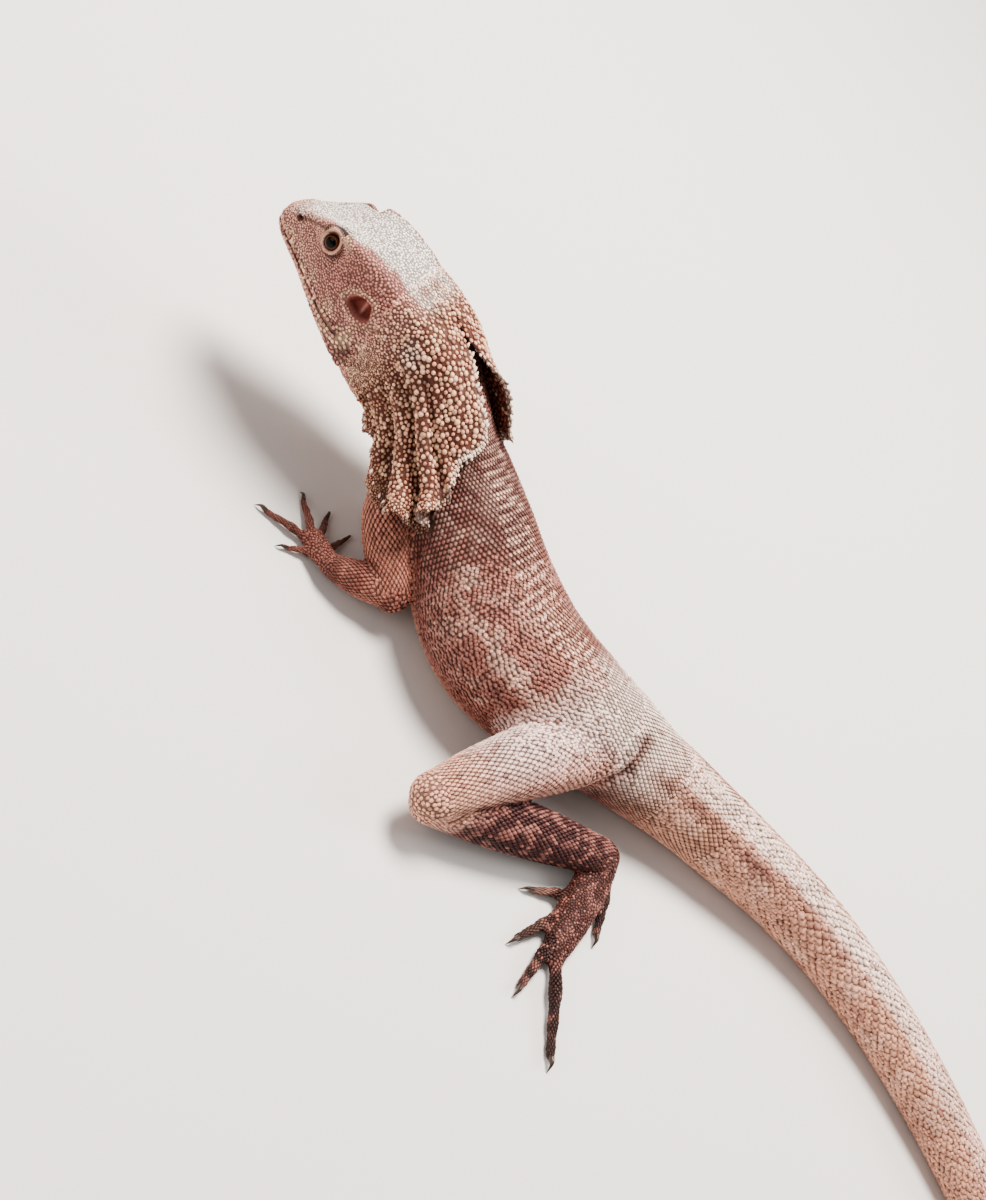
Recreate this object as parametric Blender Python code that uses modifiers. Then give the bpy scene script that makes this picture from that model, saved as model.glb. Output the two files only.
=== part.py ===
"""Frilled lizard at life size, as a still model: it rests on belly, feet and tail with its head raised.

The head points to -Y, the left side is +X, the floor is z = 0, and the origin is on the floor under the
middle of the belly. Named sizes are in millimetres and MM turns them into metres. The trunk and the tail are
one smooth body read from a few named stations, cut into lengths. The head is a loft between named outline
curves. Each limb segment is a rounded loft, cut clear of the one that it grows from.
"""

import math

import bmesh
import bpy
import numpy as np
from mathutils import Vector
from mathutils.bvhtree import BVHTree

MM = 0.001
GAP = 0.3
UP = np.array([0.0, 0.0, 1.0])

# Trunk and tail: distance along Y, then centre x and z, half width, height above and depth below the centre.
TRUNK = (
    (-64, -8.8, 51, 15.5, 15, 15.5),
    (-55, -9.4, 44, 17, 16.5, 18),
    (-41, -9.8, 36.5, 20.5, 18.5, 20.5),
    (-26, -5.8, 30.5, 22.8, 22.6, 23),
    (-11, -0.3, 26.5, 24.8, 24.2, 26),
    (15, 6.9, 24, 28, 24, 25.6),
    (32, 4.2, 23.5, 26.5, 22.3, 24.4),
    (46, -1.4, 22.3, 24, 21, 22.9),
    (65, -9.6, 20.5, 21, 18.8, 20.7),
    (81, -16.6, 18.6, 18, 16.8, 18.7),
    (91, -21.6, 17.2, 16.9, 16.2, 17.3),
    (123, -33.6, 14.9, 14.9, 14.7, 15),
    (162, -44.6, 13, 13.2, 13, 13.1),
    (205, -46.6, 11.5, 11.8, 11.6, 11.7),
    (252, -39.1, 10.3, 10.6, 10.4, 10.5),
    (300, -24, 8.7, 9, 8.8, 8.9),
    (360, -3, 6.9, 7.2, 7, 7.1),
    (420, 12, 5.1, 5.3, 5.2, 5.3),
    (480, 20, 3.2, 3.4, 3.3, 3.4),
    (530, 22, 1.3, 1.4, 1.3, 1.4),
)
TORSO_START, TORSO_END = -55, 86
TAIL_ENDS = (86, 168, 256, 366, 530)
TORSO_SIDES, TAIL_SIDES = 28, 18

# Head: the point of the snout, and the way from there to the back of the head.
SNOUT = np.array([0.0, -145.7, 56.2])
HEAD_YAW, HEAD_PITCH = math.radians(7), math.radians(6)
HEAD_LENGTH = 58

# Outline curves of the head: distance behind the snout, half width, height above the snout's point.
CROWN = ((0, 2.6), (3, 6.4), (8, 9.6), (14, 12.4), (21, 15.6), (33, 19.2), (45, 19.8), (58, 16))
BROW = (
    (0, 1.9, 2), (3, 4, 5.6), (8, 5.6, 8.8), (14, 8.2, 12.8),
    (21, 12, 17.8), (28, 14, 19.2), (42, 14.6, 18.4), (58, 13.6, 14.2),
)
TEMPLE = (
    (0, 2.6, 0.8), (3, 5, 3), (8, 6.6, 4.6), (14, 8.6, 7),
    (21, 11, 10.4), (30, 14.6, 10.8), (42, 17.6, 11), (58, 17.4, 7),
)
CHEEK = (
    (0, 3, -0.2), (3, 5.8, 0.4), (8, 8.2, 0.2), (14, 10.6, 0),
    (24, 15, 0), (36, 18.9, 0.4), (46, 20.2, 0.6), (58, 19.6, -2),
)
LIP = (
    (0, 2.9, -2.4), (3, 5.8, -2.6), (8, 8.3, -3.2), (14, 10.7, -4.6),
    (24, 15, -6.2), (36, 19, -7.8), (46, 20.4, -8.8), (58, 20, -11.4),
)
JAW = (
    (0, 2.3, -4.4), (3, 4.8, -5.6), (8, 7, -6.8), (14, 8.8, -8.2),
    (24, 12.6, -11), (36, 16.8, -15.2), (46, 18.6, -18.8), (58, 18.4, -22),
)
CHIN = ((0, -5.2), (3, -6.6), (8, -8), (14, -9.4), (24, -12.4), (36, -16.8), (46, -21.2), (58, -25.2))
HEAD_STATIONS = (0, 0.8, 2, 4, 6.5, 9.5, 13, 16.5, 20, 23.5, 27, 31, 36, 41, 46, 52, 58)

# Mouth line on the head's side: distance behind the snout and height. It ends at the corner of the mouth.
MOUTH = ((-4, -2), (0, -2.3), (7, -3.1), (18, -4.9), (34, -8), (43.5, -8.8))
JAW_BACK = (51, -30)

EYE_AT = (21.8, 9.4, 11.2)
EYE_RADIUS = 4.4
LID_RADIUS, LID_SQUEEZE, LID_LIFT, LID_THICK = 4.2, 0.92, 2.1, 1.25
EAR_AT, EAR_HALF = (44.2, 19, 4.4), (2.8, 2.6, 4.8)
NOSTRIL_AT, NOSTRIL_RADIUS = (7.2, 6.8, 5.2), 0.95

# Neck: its first section is the head's last, drawn in so that the frill's root has a ledge to meet.
NECK_DRAW_IN = 0.82

# Frill: membrane thickness, the angle of its upper margin from the top of the neck, and its lengths.
FRILL_THICK = 1.1
FRILL_COLUMNS, FRILL_ROWS = 44, 12
FRILL_TOP_ANGLE = {"left": math.radians(12), "right": math.radians(26)}
FRILL_LENGTHS = {
    "left": (
        (0, 36), (0.06, 40), (0.14, 42), (0.22, 43), (0.31, 55), (0.37, 63), (0.43, 67),
        (0.5, 64), (0.55, 53), (0.61, 41), (0.69, 33), (0.82, 29), (1, 27),
    ),
    "right": ((0, 45), (0.3, 46), (0.45, 44), (0.55, 38), (0.63, 34), (0.72, 31), (0.85, 29), (1, 27)),
}
FRILL_ROOT = 0.955
FRILL_CLEARANCE = 1.95
FRILL_REACH = 46
FRILL_TOOTH = 1.7
FRILL_MIDDLE_GAP = 0.8
PLEATS, PLEATS_START = 6, {"left": 0.27, "right": 0.2}
PLEAT_DEPTHS = {
    "left": ((0, 0), (0.27, 0.2), (0.34, 3), (0.46, 4.2), (0.56, 3), (0.63, 1.9), (1, 1.5)),
    "right": ((0, 0), (0.3, 0.4), (0.45, 2.2), (0.6, 2.2), (1, 1.5)),
}
THROAT_HANG = ((0, 0), (0.4, 0), (0.62, 1), (0.8, 2.4), (1, 3))
FLARE = {"left": 1.0, "right": 5.5}

# Limbs: each joint's place and each segment's radii along its length, from root to end.
ARMS = {
    "left": {
        "upper_arm": (((6, -53.5, 30), 8), ((16.5, -42.8, 21.5), 8.6), ((26, -22.5, 12.5), 6.9)),
        "forearm": (((26, -22.8, 12), 5.8), ((31, -31.5, 10.2), 6.3), ((35.6, -41.5, 7), 4.5)),
        "palm": (((35.4, -41, 6.6), 3.9), ((34, -47, 5), 4.8), ((31.5, -53, 3.6), 4.5)),
        "digits": (
            ((30.5, -47.5), (13, -47.5), 1.5),
            ((29.5, -52), (14.5, -59), 1.6),
            ((30.5, -54.5), (20, -70), 1.7),
            ((33.5, -54.5), (41, -74), 1.7),
            ((36.5, -50.5), (45, -58.5), 1.5),
        ),
    },
    "right": {
        "upper_arm": (((-23, -52, 30), 7.6), ((-34, -42, 21.5), 8), ((-45, -23.5, 12.5), 6.8)),
        "forearm": (((-45, -23.8, 12), 5.8), ((-50.5, -33.5, 10.2), 6.3), ((-54, -44, 7), 4.5)),
        "palm": (((-54, -43.5, 6.6), 3.9), ((-54, -50, 5), 4.8), ((-53, -56.5, 3.6), 4.5)),
        "digits": (
            ((-50.5, -51), (-35, -54), 1.5),
            ((-50.5, -56), (-39, -67), 1.6),
            ((-52.5, -58.5), (-47, -77), 1.7),
            ((-55.5, -58), (-62, -77), 1.7),
            ((-57.5, -53.5), (-69, -62), 1.5),
        ),
    },
}
LEGS = {
    "left": {
        "thigh": (((-4, 62, 18), 9.5), ((13, 57, 21.5), 12.4), ((38, 48.5, 23.5), 12), ((70, 39, 16.8), 8.6)),
        "shin": (((70, 40, 13), 7.2), ((55, 54, 12.2), 9.2), ((39.5, 70, 11.4), 9.2), ((17.5, 93, 8.8), 6.6)),
        "sole": (((16, 95, 6.6), 6), ((27, 98, 5), 7), ((43, 101.5, 3.9), 7), ((57, 105, 3), 5)),
        "digits": (
            ((36, 95), (50, 82), 1.9),
            ((47, 97), (69.5, 92), 2.1),
            ((53, 101), (81, 105.5), 2.2),
            ((57, 106), (88, 130.5), 2.3),
            ((17, 101.5), (39.5, 114), 2.1),
        ),
    },
    "right": {
        "thigh": (((-11, 62, 19), 10), ((-17.5, 48, 17), 12), ((-25, 28, 13.8), 11), ((-33.5, 6, 10), 8)),
        "shin": (((-33.5, 6, 8.6), 6.8), ((-37, 24, 8.6), 7.8), ((-38, 44, 8.6), 7.6), ((-41.5, 73, 7.8), 6)),
        "sole": (((-41.5, 74, 6.2), 5.7), ((-44, 84, 4.9), 6.6), ((-49, 99, 3.8), 6.6), ((-52, 110, 3), 4.8)),
        "digits": (
            ((-46, 92), (-44, 110), 1.9),
            ((-48, 103), (-49.5, 126), 2.1),
            ((-51, 109), (-57, 139), 2.2),
            ((-53.5, 110), (-66, 147), 2.3),
            ((-49, 84), (-62, 101), 2.0),
        ),
    },
}
LIMB_SIDES, DIGIT_SIDES = 12, 6
SOLE_FLATNESS = 0.72
KNUCKLE_RISE = 2.2
CLAW_LENGTH = {"arm": 3.2, "leg": 3.8}

SKIN_BROWN = (0.30, 0.19, 0.15)
SKIN_PALE = (0.62, 0.48, 0.42)
SKIN_DARK = (0.16, 0.10, 0.09)
FRILL_TAN = (0.48, 0.33, 0.25)
HEAD_TINT = (0.46, 0.33, 0.31)
EYE_BROWN = (0.05, 0.02, 0.012)


def clear_scene():
    for item in list(bpy.data.objects):
        bpy.data.objects.remove(item)


def material(name, colour, roughness):
    made = bpy.data.materials.get(name)
    if made:
        return made
    made = bpy.data.materials.new(name)
    made.use_nodes = True
    shader = made.node_tree.nodes["Principled BSDF"]
    shader.inputs["Base Color"].default_value = (*colour, 1)
    shader.inputs["Roughness"].default_value = roughness
    shader.inputs["Metallic"].default_value = 0
    return made


def read_at(rows, position):
    """The values of rows (position, value, ...) at any position, on a smooth curve through them."""
    rows = np.array(rows, float)
    x, y = rows[:, 0], rows[:, 1:]
    slope = np.gradient(y, x, axis=0)
    i = int(np.clip(np.searchsorted(x, position) - 1, 0, len(x) - 2))
    width = x[i + 1] - x[i]
    t = (position - x[i]) / width
    near, far = (1 + 2 * t) * (1 - t) ** 2, t * t * (3 - 2 * t)
    leave, arrive = t * (1 - t) ** 2 * width, t * t * (t - 1) * width
    return near * y[i] + far * y[i + 1] + leave * slope[i] + arrive * slope[i + 1]


def unit(vector):
    return vector / np.linalg.norm(vector)


def side_and_up(along):
    """The two directions square to a way along: to its right-hand side and upwards."""
    side = unit(np.cross(along, UP))
    return side, np.cross(side, along)


def rest_on_floor(points):
    points = np.array(points)
    points[:, 2] = np.maximum(points[:, 2], 0)
    return points


def new_object(name, mesh):
    made = bpy.data.objects.new(name, mesh)
    bpy.context.scene.collection.objects.link(made)
    return made


def object_from(work, name):
    """Turns a built shape into an object with its faces pointing outwards."""
    work.normal_update()
    bmesh.ops.recalc_face_normals(work, faces=work.faces[:])
    mesh = bpy.data.meshes.new(name)
    work.to_mesh(mesh)
    work.free()
    return new_object(name, mesh)


def loft(name, rings, tip=None, start_tip=None):
    """A closed body through rings of equal point counts, each end a flat face or a tip point."""
    work = bmesh.new()
    rows = [[work.verts.new(Vector(point) * MM) for point in ring] for ring in rings]
    count = len(rows[0])
    for row, following in zip(rows, rows[1:]):
        for i in range(count):
            j = (i + 1) % count
            work.faces.new((row[i], row[j], following[j], following[i]))
    for row, point in ((rows[0], start_tip), (rows[-1], tip)):
        if point is None:
            work.faces.new(row)
            continue
        apex = work.verts.new(Vector(point) * MM)
        for i in range(count):
            work.faces.new((row[i], row[(i + 1) % count], apex))
    work.normal_update()
    bmesh.ops.triangulate(work, faces=work.faces[:], quad_method="SHORT_EDGE")
    return object_from(work, name)


def keep_largest_surface(target):
    """Drops every closed surface of a mesh but the one that holds the most, and clears slivers."""
    work = bmesh.new()
    work.from_mesh(target.data)
    bmesh.ops.remove_doubles(work, verts=work.verts[:], dist=0.002 * MM)
    bmesh.ops.dissolve_degenerate(work, edges=work.edges[:], dist=0.002 * MM)
    bmesh.ops.triangulate(work, faces=work.faces[:])
    unseen = set(work.faces)
    surfaces = []
    while unseen:
        stack, surface = [unseen.pop()], []
        while stack:
            face = stack.pop()
            surface.append(face)
            for edge in face.edges:
                for other in edge.link_faces:
                    if other in unseen:
                        unseen.remove(other)
                        stack.append(other)
        surfaces.append(surface)
    kept = max(surfaces, key=lambda found: sum(face.calc_area() for face in found))
    dropped = [face for surface in surfaces if surface is not kept for face in surface]
    bmesh.ops.delete(work, geom=dropped, context="FACES")
    work.to_mesh(target.data)
    work.free()


def combine(target, operation, others):
    """Applies one Boolean with all the others, removes them and keeps one closed surface."""
    group = bpy.data.collections.new("others")
    for other in others:
        group.objects.link(other)
    modifier = target.modifiers.new(operation, "BOOLEAN")
    modifier.operation = operation
    modifier.operand_type = "COLLECTION"
    modifier.collection = group
    modifier.solver = "EXACT"
    bpy.context.view_layer.update()
    evaluated = target.evaluated_get(bpy.context.evaluated_depsgraph_get())
    mesh = bpy.data.meshes.new_from_object(evaluated)
    target.modifiers.clear()
    target.data = mesh
    for other in others:
        bpy.data.objects.remove(other)
    bpy.data.collections.remove(group)
    keep_largest_surface(target)


def finish(target, colour_name, colour, roughness=0.7):
    """Gives a node its material, its collection and its shading."""
    target.data.materials.clear()
    target.data.materials.append(material(colour_name, colour, roughness))
    target.data.shade_smooth()
    target.data.set_sharp_from_angle(angle=math.radians(40))
    lizard.objects.link(target)
    bpy.context.scene.collection.objects.unlink(target)


def trunk_ring(y, sides, grow=0.0):
    """One section of trunk or tail, square to its centre line."""
    x, z, half_width, above, below = read_at(TRUNK, y)
    ahead, behind = read_at(TRUNK, y + 1), read_at(TRUNK, y - 1)
    along = unit(np.array([ahead[0] - behind[0], 2.0, ahead[1] - behind[1]]))
    side, up = side_and_up(along)
    centre = np.array([x, y, z])
    ring = []
    for i in range(sides):
        angle = math.tau * i / sides
        height = above if math.cos(angle) > 0 else below
        across = (half_width + grow) * math.sin(angle)
        ring.append(centre + side * across + up * (height + grow) * math.cos(angle))
    return rest_on_floor(ring), centre, along


def trunk_length(name, start, end, sides, spacing, grow=0.0, tip=False):
    """The trunk or tail between two places along Y. All but the first length start a gap later."""
    steps = max(2, round((end - start) / spacing))
    rings = [trunk_ring(start + (end - start) * i / steps, sides, grow)[0] for i in range(steps + 1)]
    point = None
    if tip:
        _, centre, along = trunk_ring(end, sides)
        point = centre + along * 2
        point[2] = 0.6
    made = loft(name, rings, tip=point)
    return made


def shift_first_ring(start):
    """Where a length begins so that it keeps the gap to the length before it."""
    _, _, along = trunk_ring(start, 8)
    return start + GAP / along[1]


def head_axes():
    back = np.array(
        [
            -math.sin(HEAD_YAW) * math.cos(HEAD_PITCH),
            math.cos(HEAD_YAW) * math.cos(HEAD_PITCH),
            math.sin(HEAD_PITCH),
        ]
    )
    left = np.array([math.cos(HEAD_YAW), math.sin(HEAD_YAW), 0.0])
    return back, left, np.cross(left, back)


def in_head(behind, across, height):
    """A place given from the snout's point, to the left and up, in the whole model's frame."""
    back, left, up = head_axes()
    return SNOUT + back * behind + left * across + up * height


def head_outline(behind):
    """Half of the head's section, from the crown down its left side to the chin, as (across, height)."""
    crown, chin = (np.array([0, *read_at(line, behind)]) for line in (CROWN, CHIN))
    brow, *lower = (read_at(line, behind) for line in (BROW, TEMPLE, CHEEK, LIP, JAW))
    corners = [crown, (crown + brow) / 2, brow, *lower, chin]
    mirrored = [corners[1] * (-1, 1), *corners, corners[-2] * (-1, 1)]
    half = []
    for i in range(1, len(mirrored) - 2):
        before, here, there, after = mirrored[i - 1 : i + 3]
        middle = (9 * (here + there) - before - after) / 16
        half += [here, middle]
    return half + [chin]


def head_ring(behind):
    half = head_outline(behind)
    outline = half + [point * (-1, 1) for point in half[-2:0:-1]]
    return [in_head(behind, *point) for point in outline]


def ball(name, centre, radii, segments, rings, axes=None):
    """An ellipsoid about a point, its radii along the head's back, left and up directions."""
    work = bmesh.new()
    bmesh.ops.create_uvsphere(work, u_segments=segments, v_segments=rings, radius=1)
    back, left, up = axes or head_axes()
    for vert in work.verts:
        x, y, z = vert.co
        place = np.array(centre) + back * x * radii[0] + left * z * radii[1] + up * y * radii[2]
        vert.co = Vector(place) * MM
    return object_from(work, name)


def ring_tube(name, centre, outward, radii, thickness, around=18, sides=7):
    """A closed ring of round section about a point, square to a direction."""
    back, _, up = head_axes()
    first = unit(back - outward * np.dot(back, outward))
    second = np.cross(outward, first)
    work = bmesh.new()
    rows = []
    for i in range(around):
        turn = math.tau * i / around
        spoke = first * math.cos(turn) * radii[0] + second * math.sin(turn) * radii[1]
        row = []
        for j in range(sides):
            tilt = math.tau * j / sides
            offset = unit(spoke) * math.cos(tilt) * thickness + outward * math.sin(tilt) * thickness
            row.append(work.verts.new(Vector(centre + spoke + offset) * MM))
        rows.append(row)
    for i in range(around):
        row, following = rows[i], rows[(i + 1) % around]
        for j in range(sides):
            k = (j + 1) % sides
            work.faces.new((row[j], row[k], following[k], following[j]))
    return object_from(work, name)


def jaw_wedge(name, grow):
    """Everything under the mouth line and ahead of the jaw's back, as a wide slab across the head."""
    line = [(s, h + grow) for s, h in MOUTH[:-1]]
    corner, back = MOUTH[-1], JAW_BACK
    outline = line + [(corner[0] + grow, corner[1] + grow), (back[0] + grow, back[1]), (MOUTH[0][0], back[1])]
    rings = [[in_head(s, across, h) for s, h in outline] for across in (-30, 30)]
    return loft(name, rings)


def make_head():
    head = loft("head", [head_ring(s) for s in HEAD_STATIONS], start_tip=in_head(-0.5, 0, -1.2))
    lids, cutters = [], []
    for sign in (1, -1):
        centre = in_head(EYE_AT[0], sign * EYE_AT[1], EYE_AT[2])
        out_point = in_head(EYE_AT[0] - 1.4, sign * (EYE_AT[1] + 8), EYE_AT[2] + 1.6)
        outward = unit(out_point - centre)
        lid_radii = (LID_RADIUS, LID_RADIUS * LID_SQUEEZE)
        lids.append(ring_tube("lids", centre + outward * LID_LIFT, outward, lid_radii, LID_THICK))
        cutters.append(ball("socket", centre, (EYE_RADIUS + GAP,) * 3, 16, 11))
        ear = in_head(EAR_AT[0], sign * EAR_AT[1], EAR_AT[2])
        cutters.append(ball("ear", ear, EAR_HALF, 12, 8))
        nostril = in_head(NOSTRIL_AT[0], sign * NOSTRIL_AT[1], NOSTRIL_AT[2])
        cutters.append(ball("nostril", nostril, (NOSTRIL_RADIUS,) * 3, 8, 6))
    combine(head, "UNION", lids)
    combine(head, "DIFFERENCE", cutters)
    jaw = new_object("lower_jaw", head.data.copy())
    combine(head, "DIFFERENCE", [jaw_wedge("wedge", GAP)])
    combine(jaw, "INTERSECT", [jaw_wedge("wedge", 0)])
    finish(head, "head skin", HEAD_TINT)
    finish(jaw, "head skin", HEAD_TINT)
    for name, sign in (("eye_left", 1), ("eye_right", -1)):
        centre = in_head(EYE_AT[0], sign * EYE_AT[1], EYE_AT[2])
        eye = ball(name, centre, (EYE_RADIUS,) * 3, 14, 10)
        finish(eye, "eye", EYE_BROWN, 0.1)


def neck_rings():
    """Sections from the back of the head to the shoulders, turning from one shape into the other."""
    last = np.array(head_ring(HEAD_LENGTH))
    back = head_axes()[0]
    start_centre = in_head(HEAD_LENGTH, 0, -3)
    first = start_centre + (last - start_centre) * NECK_DRAW_IN + back * GAP
    end_ring, end_centre, end_along = trunk_ring(TORSO_START, TORSO_SIDES)
    end_ring = end_ring - end_along * GAP
    first_centre = start_centre + back * GAP
    steps = 7
    rings, centres = [], []
    span = np.linalg.norm(end_centre - first_centre)
    for i in range(steps + 1):
        t = i / steps
        near, far = (1 + 2 * t) * (1 - t) ** 2, t * t * (3 - 2 * t)
        leave, arrive = t * (1 - t) ** 2 * span, t * t * (t - 1) * span
        centre = near * first_centre + far * end_centre + leave * back + arrive * end_along
        blend = far
        ring = centre + (first - first_centre) * (1 - blend) + (end_ring - end_centre) * blend
        rings.append(ring)
        centres.append(centre)
    return rings, centres


def make_neck():
    rings, _ = neck_rings()
    finish(loft("neck", rings), "body skin", SKIN_BROWN)


def make_trunk():
    torso = trunk_length("torso", TORSO_START, TORSO_END, TORSO_SIDES, 7.5)
    finish(torso, "body skin", SKIN_BROWN)
    names = ("tail_base", "tail_mid", "tail_rear", "tail_end")
    spacings = (12, 14, 18, 24)
    for i, name in enumerate(names):
        start = shift_first_ring(TAIL_ENDS[i])
        last = i == len(names) - 1
        length = trunk_length(name, start, TAIL_ENDS[i + 1], TAIL_SIDES, spacings[i], tip=last)
        finish(length, "tail skin", SKIN_PALE)


def smooth_path(places, steps):
    """Points and radii on a smooth curve through places ((x, y, z), radius), evenly stepped."""
    rows = [(i, *point, radius) for i, (point, radius) in enumerate(places)]
    last = len(rows) - 1
    values = [read_at(rows, last * i / steps) for i in range(steps + 1)]
    return [value[:3] for value in values], [value[3] for value in values]


def limb(name, places, sides=LIMB_SIDES, steps=6, flatness=1.0, grow=0.0):
    """A tapered limb segment with rounded ends, through places with their radii."""
    points, radii = smooth_path(places, steps)
    rings = []
    for i, (point, radius) in enumerate(zip(points, radii)):
        ahead, behind = points[min(i + 1, steps)], points[max(i - 1, 0)]
        along = unit(ahead - behind)
        side, up = side_and_up(along)
        rounds = ((0.0, 1.0),)
        if i == 0:
            rounds = ((-0.85, 0.5), (-0.5, 0.86), (0.0, 1.0))
        if i == steps:
            rounds = ((0.0, 1.0), (0.5, 0.86), (0.85, 0.5))
        for shift, scale in rounds:
            size = (radius + grow) * scale
            centre = point + along * shift * (radius + grow)
            turns = [math.tau * k / sides for k in range(sides)]
            ring = [centre + side * size * math.sin(a) + up * size * flatness * math.cos(a) for a in turns]
            rings.append(rest_on_floor(ring))
    ends = []
    for i, way in ((0, -1), (-1, 1)):
        along = unit(points[1] - points[0]) if i == 0 else unit(points[-1] - points[-2])
        apex = points[i] + along * way * (radii[i] + grow)
        apex[2] = max(apex[2], 0.3)
        ends.append(apex)
    return loft(name, rings, start_tip=ends[0], tip=ends[1])


def digit(name, base, tip, radius, claw):
    """A toe or finger that rises over its knuckle and ends in a curved claw, from above (x, y)."""
    base, tip = np.array([*base, 3.0]), np.array([*tip, 0.0])
    way = tip - base
    length = np.linalg.norm(way[:2])
    way = unit(np.array([way[0], way[1], 0.0]))
    side = np.cross(way, UP)
    toe = 1 - claw / length
    stations = (
        (0.0, radius * 1.1, radius * 1.1),
        (0.22 * toe, radius * 1.02, radius + KNUCKLE_RISE * 0.5),
        (0.4 * toe, radius * 1.06, radius + KNUCKLE_RISE * 0.55),
        (0.62 * toe, radius * 0.86, radius + KNUCKLE_RISE * 0.25),
        (0.84 * toe, radius * 0.84, radius * 0.9),
        (toe, radius * 0.42, radius * 0.8),
        (toe + (1 - toe) * 0.5, radius * 0.3, radius * 0.72),
        (toe + (1 - toe) * 0.85, radius * 0.16, radius * 0.38),
    )
    rings = []
    for share, size, height in stations:
        centre = base + way * length * share
        centre[2] = height
        turns = [math.tau * k / DIGIT_SIDES for k in range(DIGIT_SIDES)]
        ring = [centre + side * size * math.sin(a) + UP * size * math.cos(a) for a in turns]
        rings.append(rest_on_floor(ring))
    return loft(name, rings, tip=base * (1, 1, 0) + way * length + UP * 0.15)


def make_arm(side_name, torso_cutter):
    arm = ARMS[side_name]
    upper = limb(f"upper_arm_{side_name}", arm["upper_arm"])
    combine(upper, "DIFFERENCE", [torso_cutter])
    forearm = limb(f"forearm_{side_name}", arm["forearm"])
    combine(forearm, "DIFFERENCE", [limb("cutter", arm["upper_arm"], grow=GAP)])
    hand = limb(f"hand_{side_name}", arm["palm"], flatness=SOLE_FLATNESS, steps=4)
    claw = CLAW_LENGTH["arm"]
    combine(hand, "UNION", [digit("digit", base, tip, radius, claw) for base, tip, radius in arm["digits"]])
    combine(hand, "DIFFERENCE", [limb("cutter", arm["forearm"], grow=GAP)])
    finish(upper, "limb skin", SKIN_PALE)
    finish(forearm, "limb skin", SKIN_PALE)
    finish(hand, "foot skin", SKIN_DARK)


def make_leg(side_name, torso_cutter, more_cutters):
    leg = LEGS[side_name]
    thigh = limb(f"thigh_{side_name}", leg["thigh"], steps=7)
    combine(thigh, "DIFFERENCE", [torso_cutter])
    shin = limb(f"shin_{side_name}", leg["shin"], steps=7)
    combine(shin, "DIFFERENCE", [limb("cutter", leg["thigh"], steps=7, grow=GAP), *more_cutters])
    foot = limb(f"foot_{side_name}", leg["sole"], flatness=SOLE_FLATNESS, steps=5)
    claw = CLAW_LENGTH["leg"]
    combine(foot, "UNION", [digit("digit", base, tip, radius, claw) for base, tip, radius in leg["digits"]])
    combine(foot, "DIFFERENCE", [limb("cutter", leg["shin"], steps=7, grow=GAP)])
    finish(thigh, "limb skin", SKIN_PALE)
    finish(shin, "foot skin", SKIN_DARK)
    finish(foot, "foot skin", SKIN_DARK)


def grown_torso():
    return trunk_length("torso cutter", TORSO_START, TORSO_END, TORSO_SIDES, 7.5, grow=GAP)


def grown_tail():
    return trunk_length("tail cutter", TORSO_END, TAIL_ENDS[1], TAIL_SIDES, 12, grow=GAP)


def surfaces_under_frill():
    """One search tree over what the frill lies on."""
    points, faces = [], []
    arms = [f"{segment}_{side}" for segment in ("upper_arm", "forearm") for side in ARMS]
    for name in ("head", "lower_jaw", "neck", "torso", *arms):
        mesh = bpy.data.objects[name].data
        first = len(points)
        points += [vert.co / MM for vert in mesh.vertices]
        faces += [[first + i for i in face.vertices] for face in mesh.polygons]
    return BVHTree.FromPolygons(points, faces)


def farthest_hit(tree, start, way, reach):
    """How far along a way from a start the last body is left behind, within reach."""
    found, travelled = 0.0, 0.0
    while travelled < reach:
        place = Vector(start + way * travelled)
        _, normal, _, distance = tree.ray_cast(place, Vector(way), reach - travelled)
        if normal is None:
            break
        travelled += distance + 0.05
        if normal.dot(Vector(way)) > 0:
            found = travelled
    return found


def frill_axis():
    """The line about which the frill lies: the neck's centres, then the shoulders'."""
    _, centres = neck_rings()
    centres = centres[:-1] + [trunk_ring(y, 8)[1] for y in (-55, -48, -41, -34, -27, -20)]
    steps = np.linalg.norm(np.diff(centres, axis=0), axis=1)
    along = np.concatenate([[0], np.cumsum(steps)])
    return [(a, *c) for a, c in zip(along, centres)]


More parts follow.
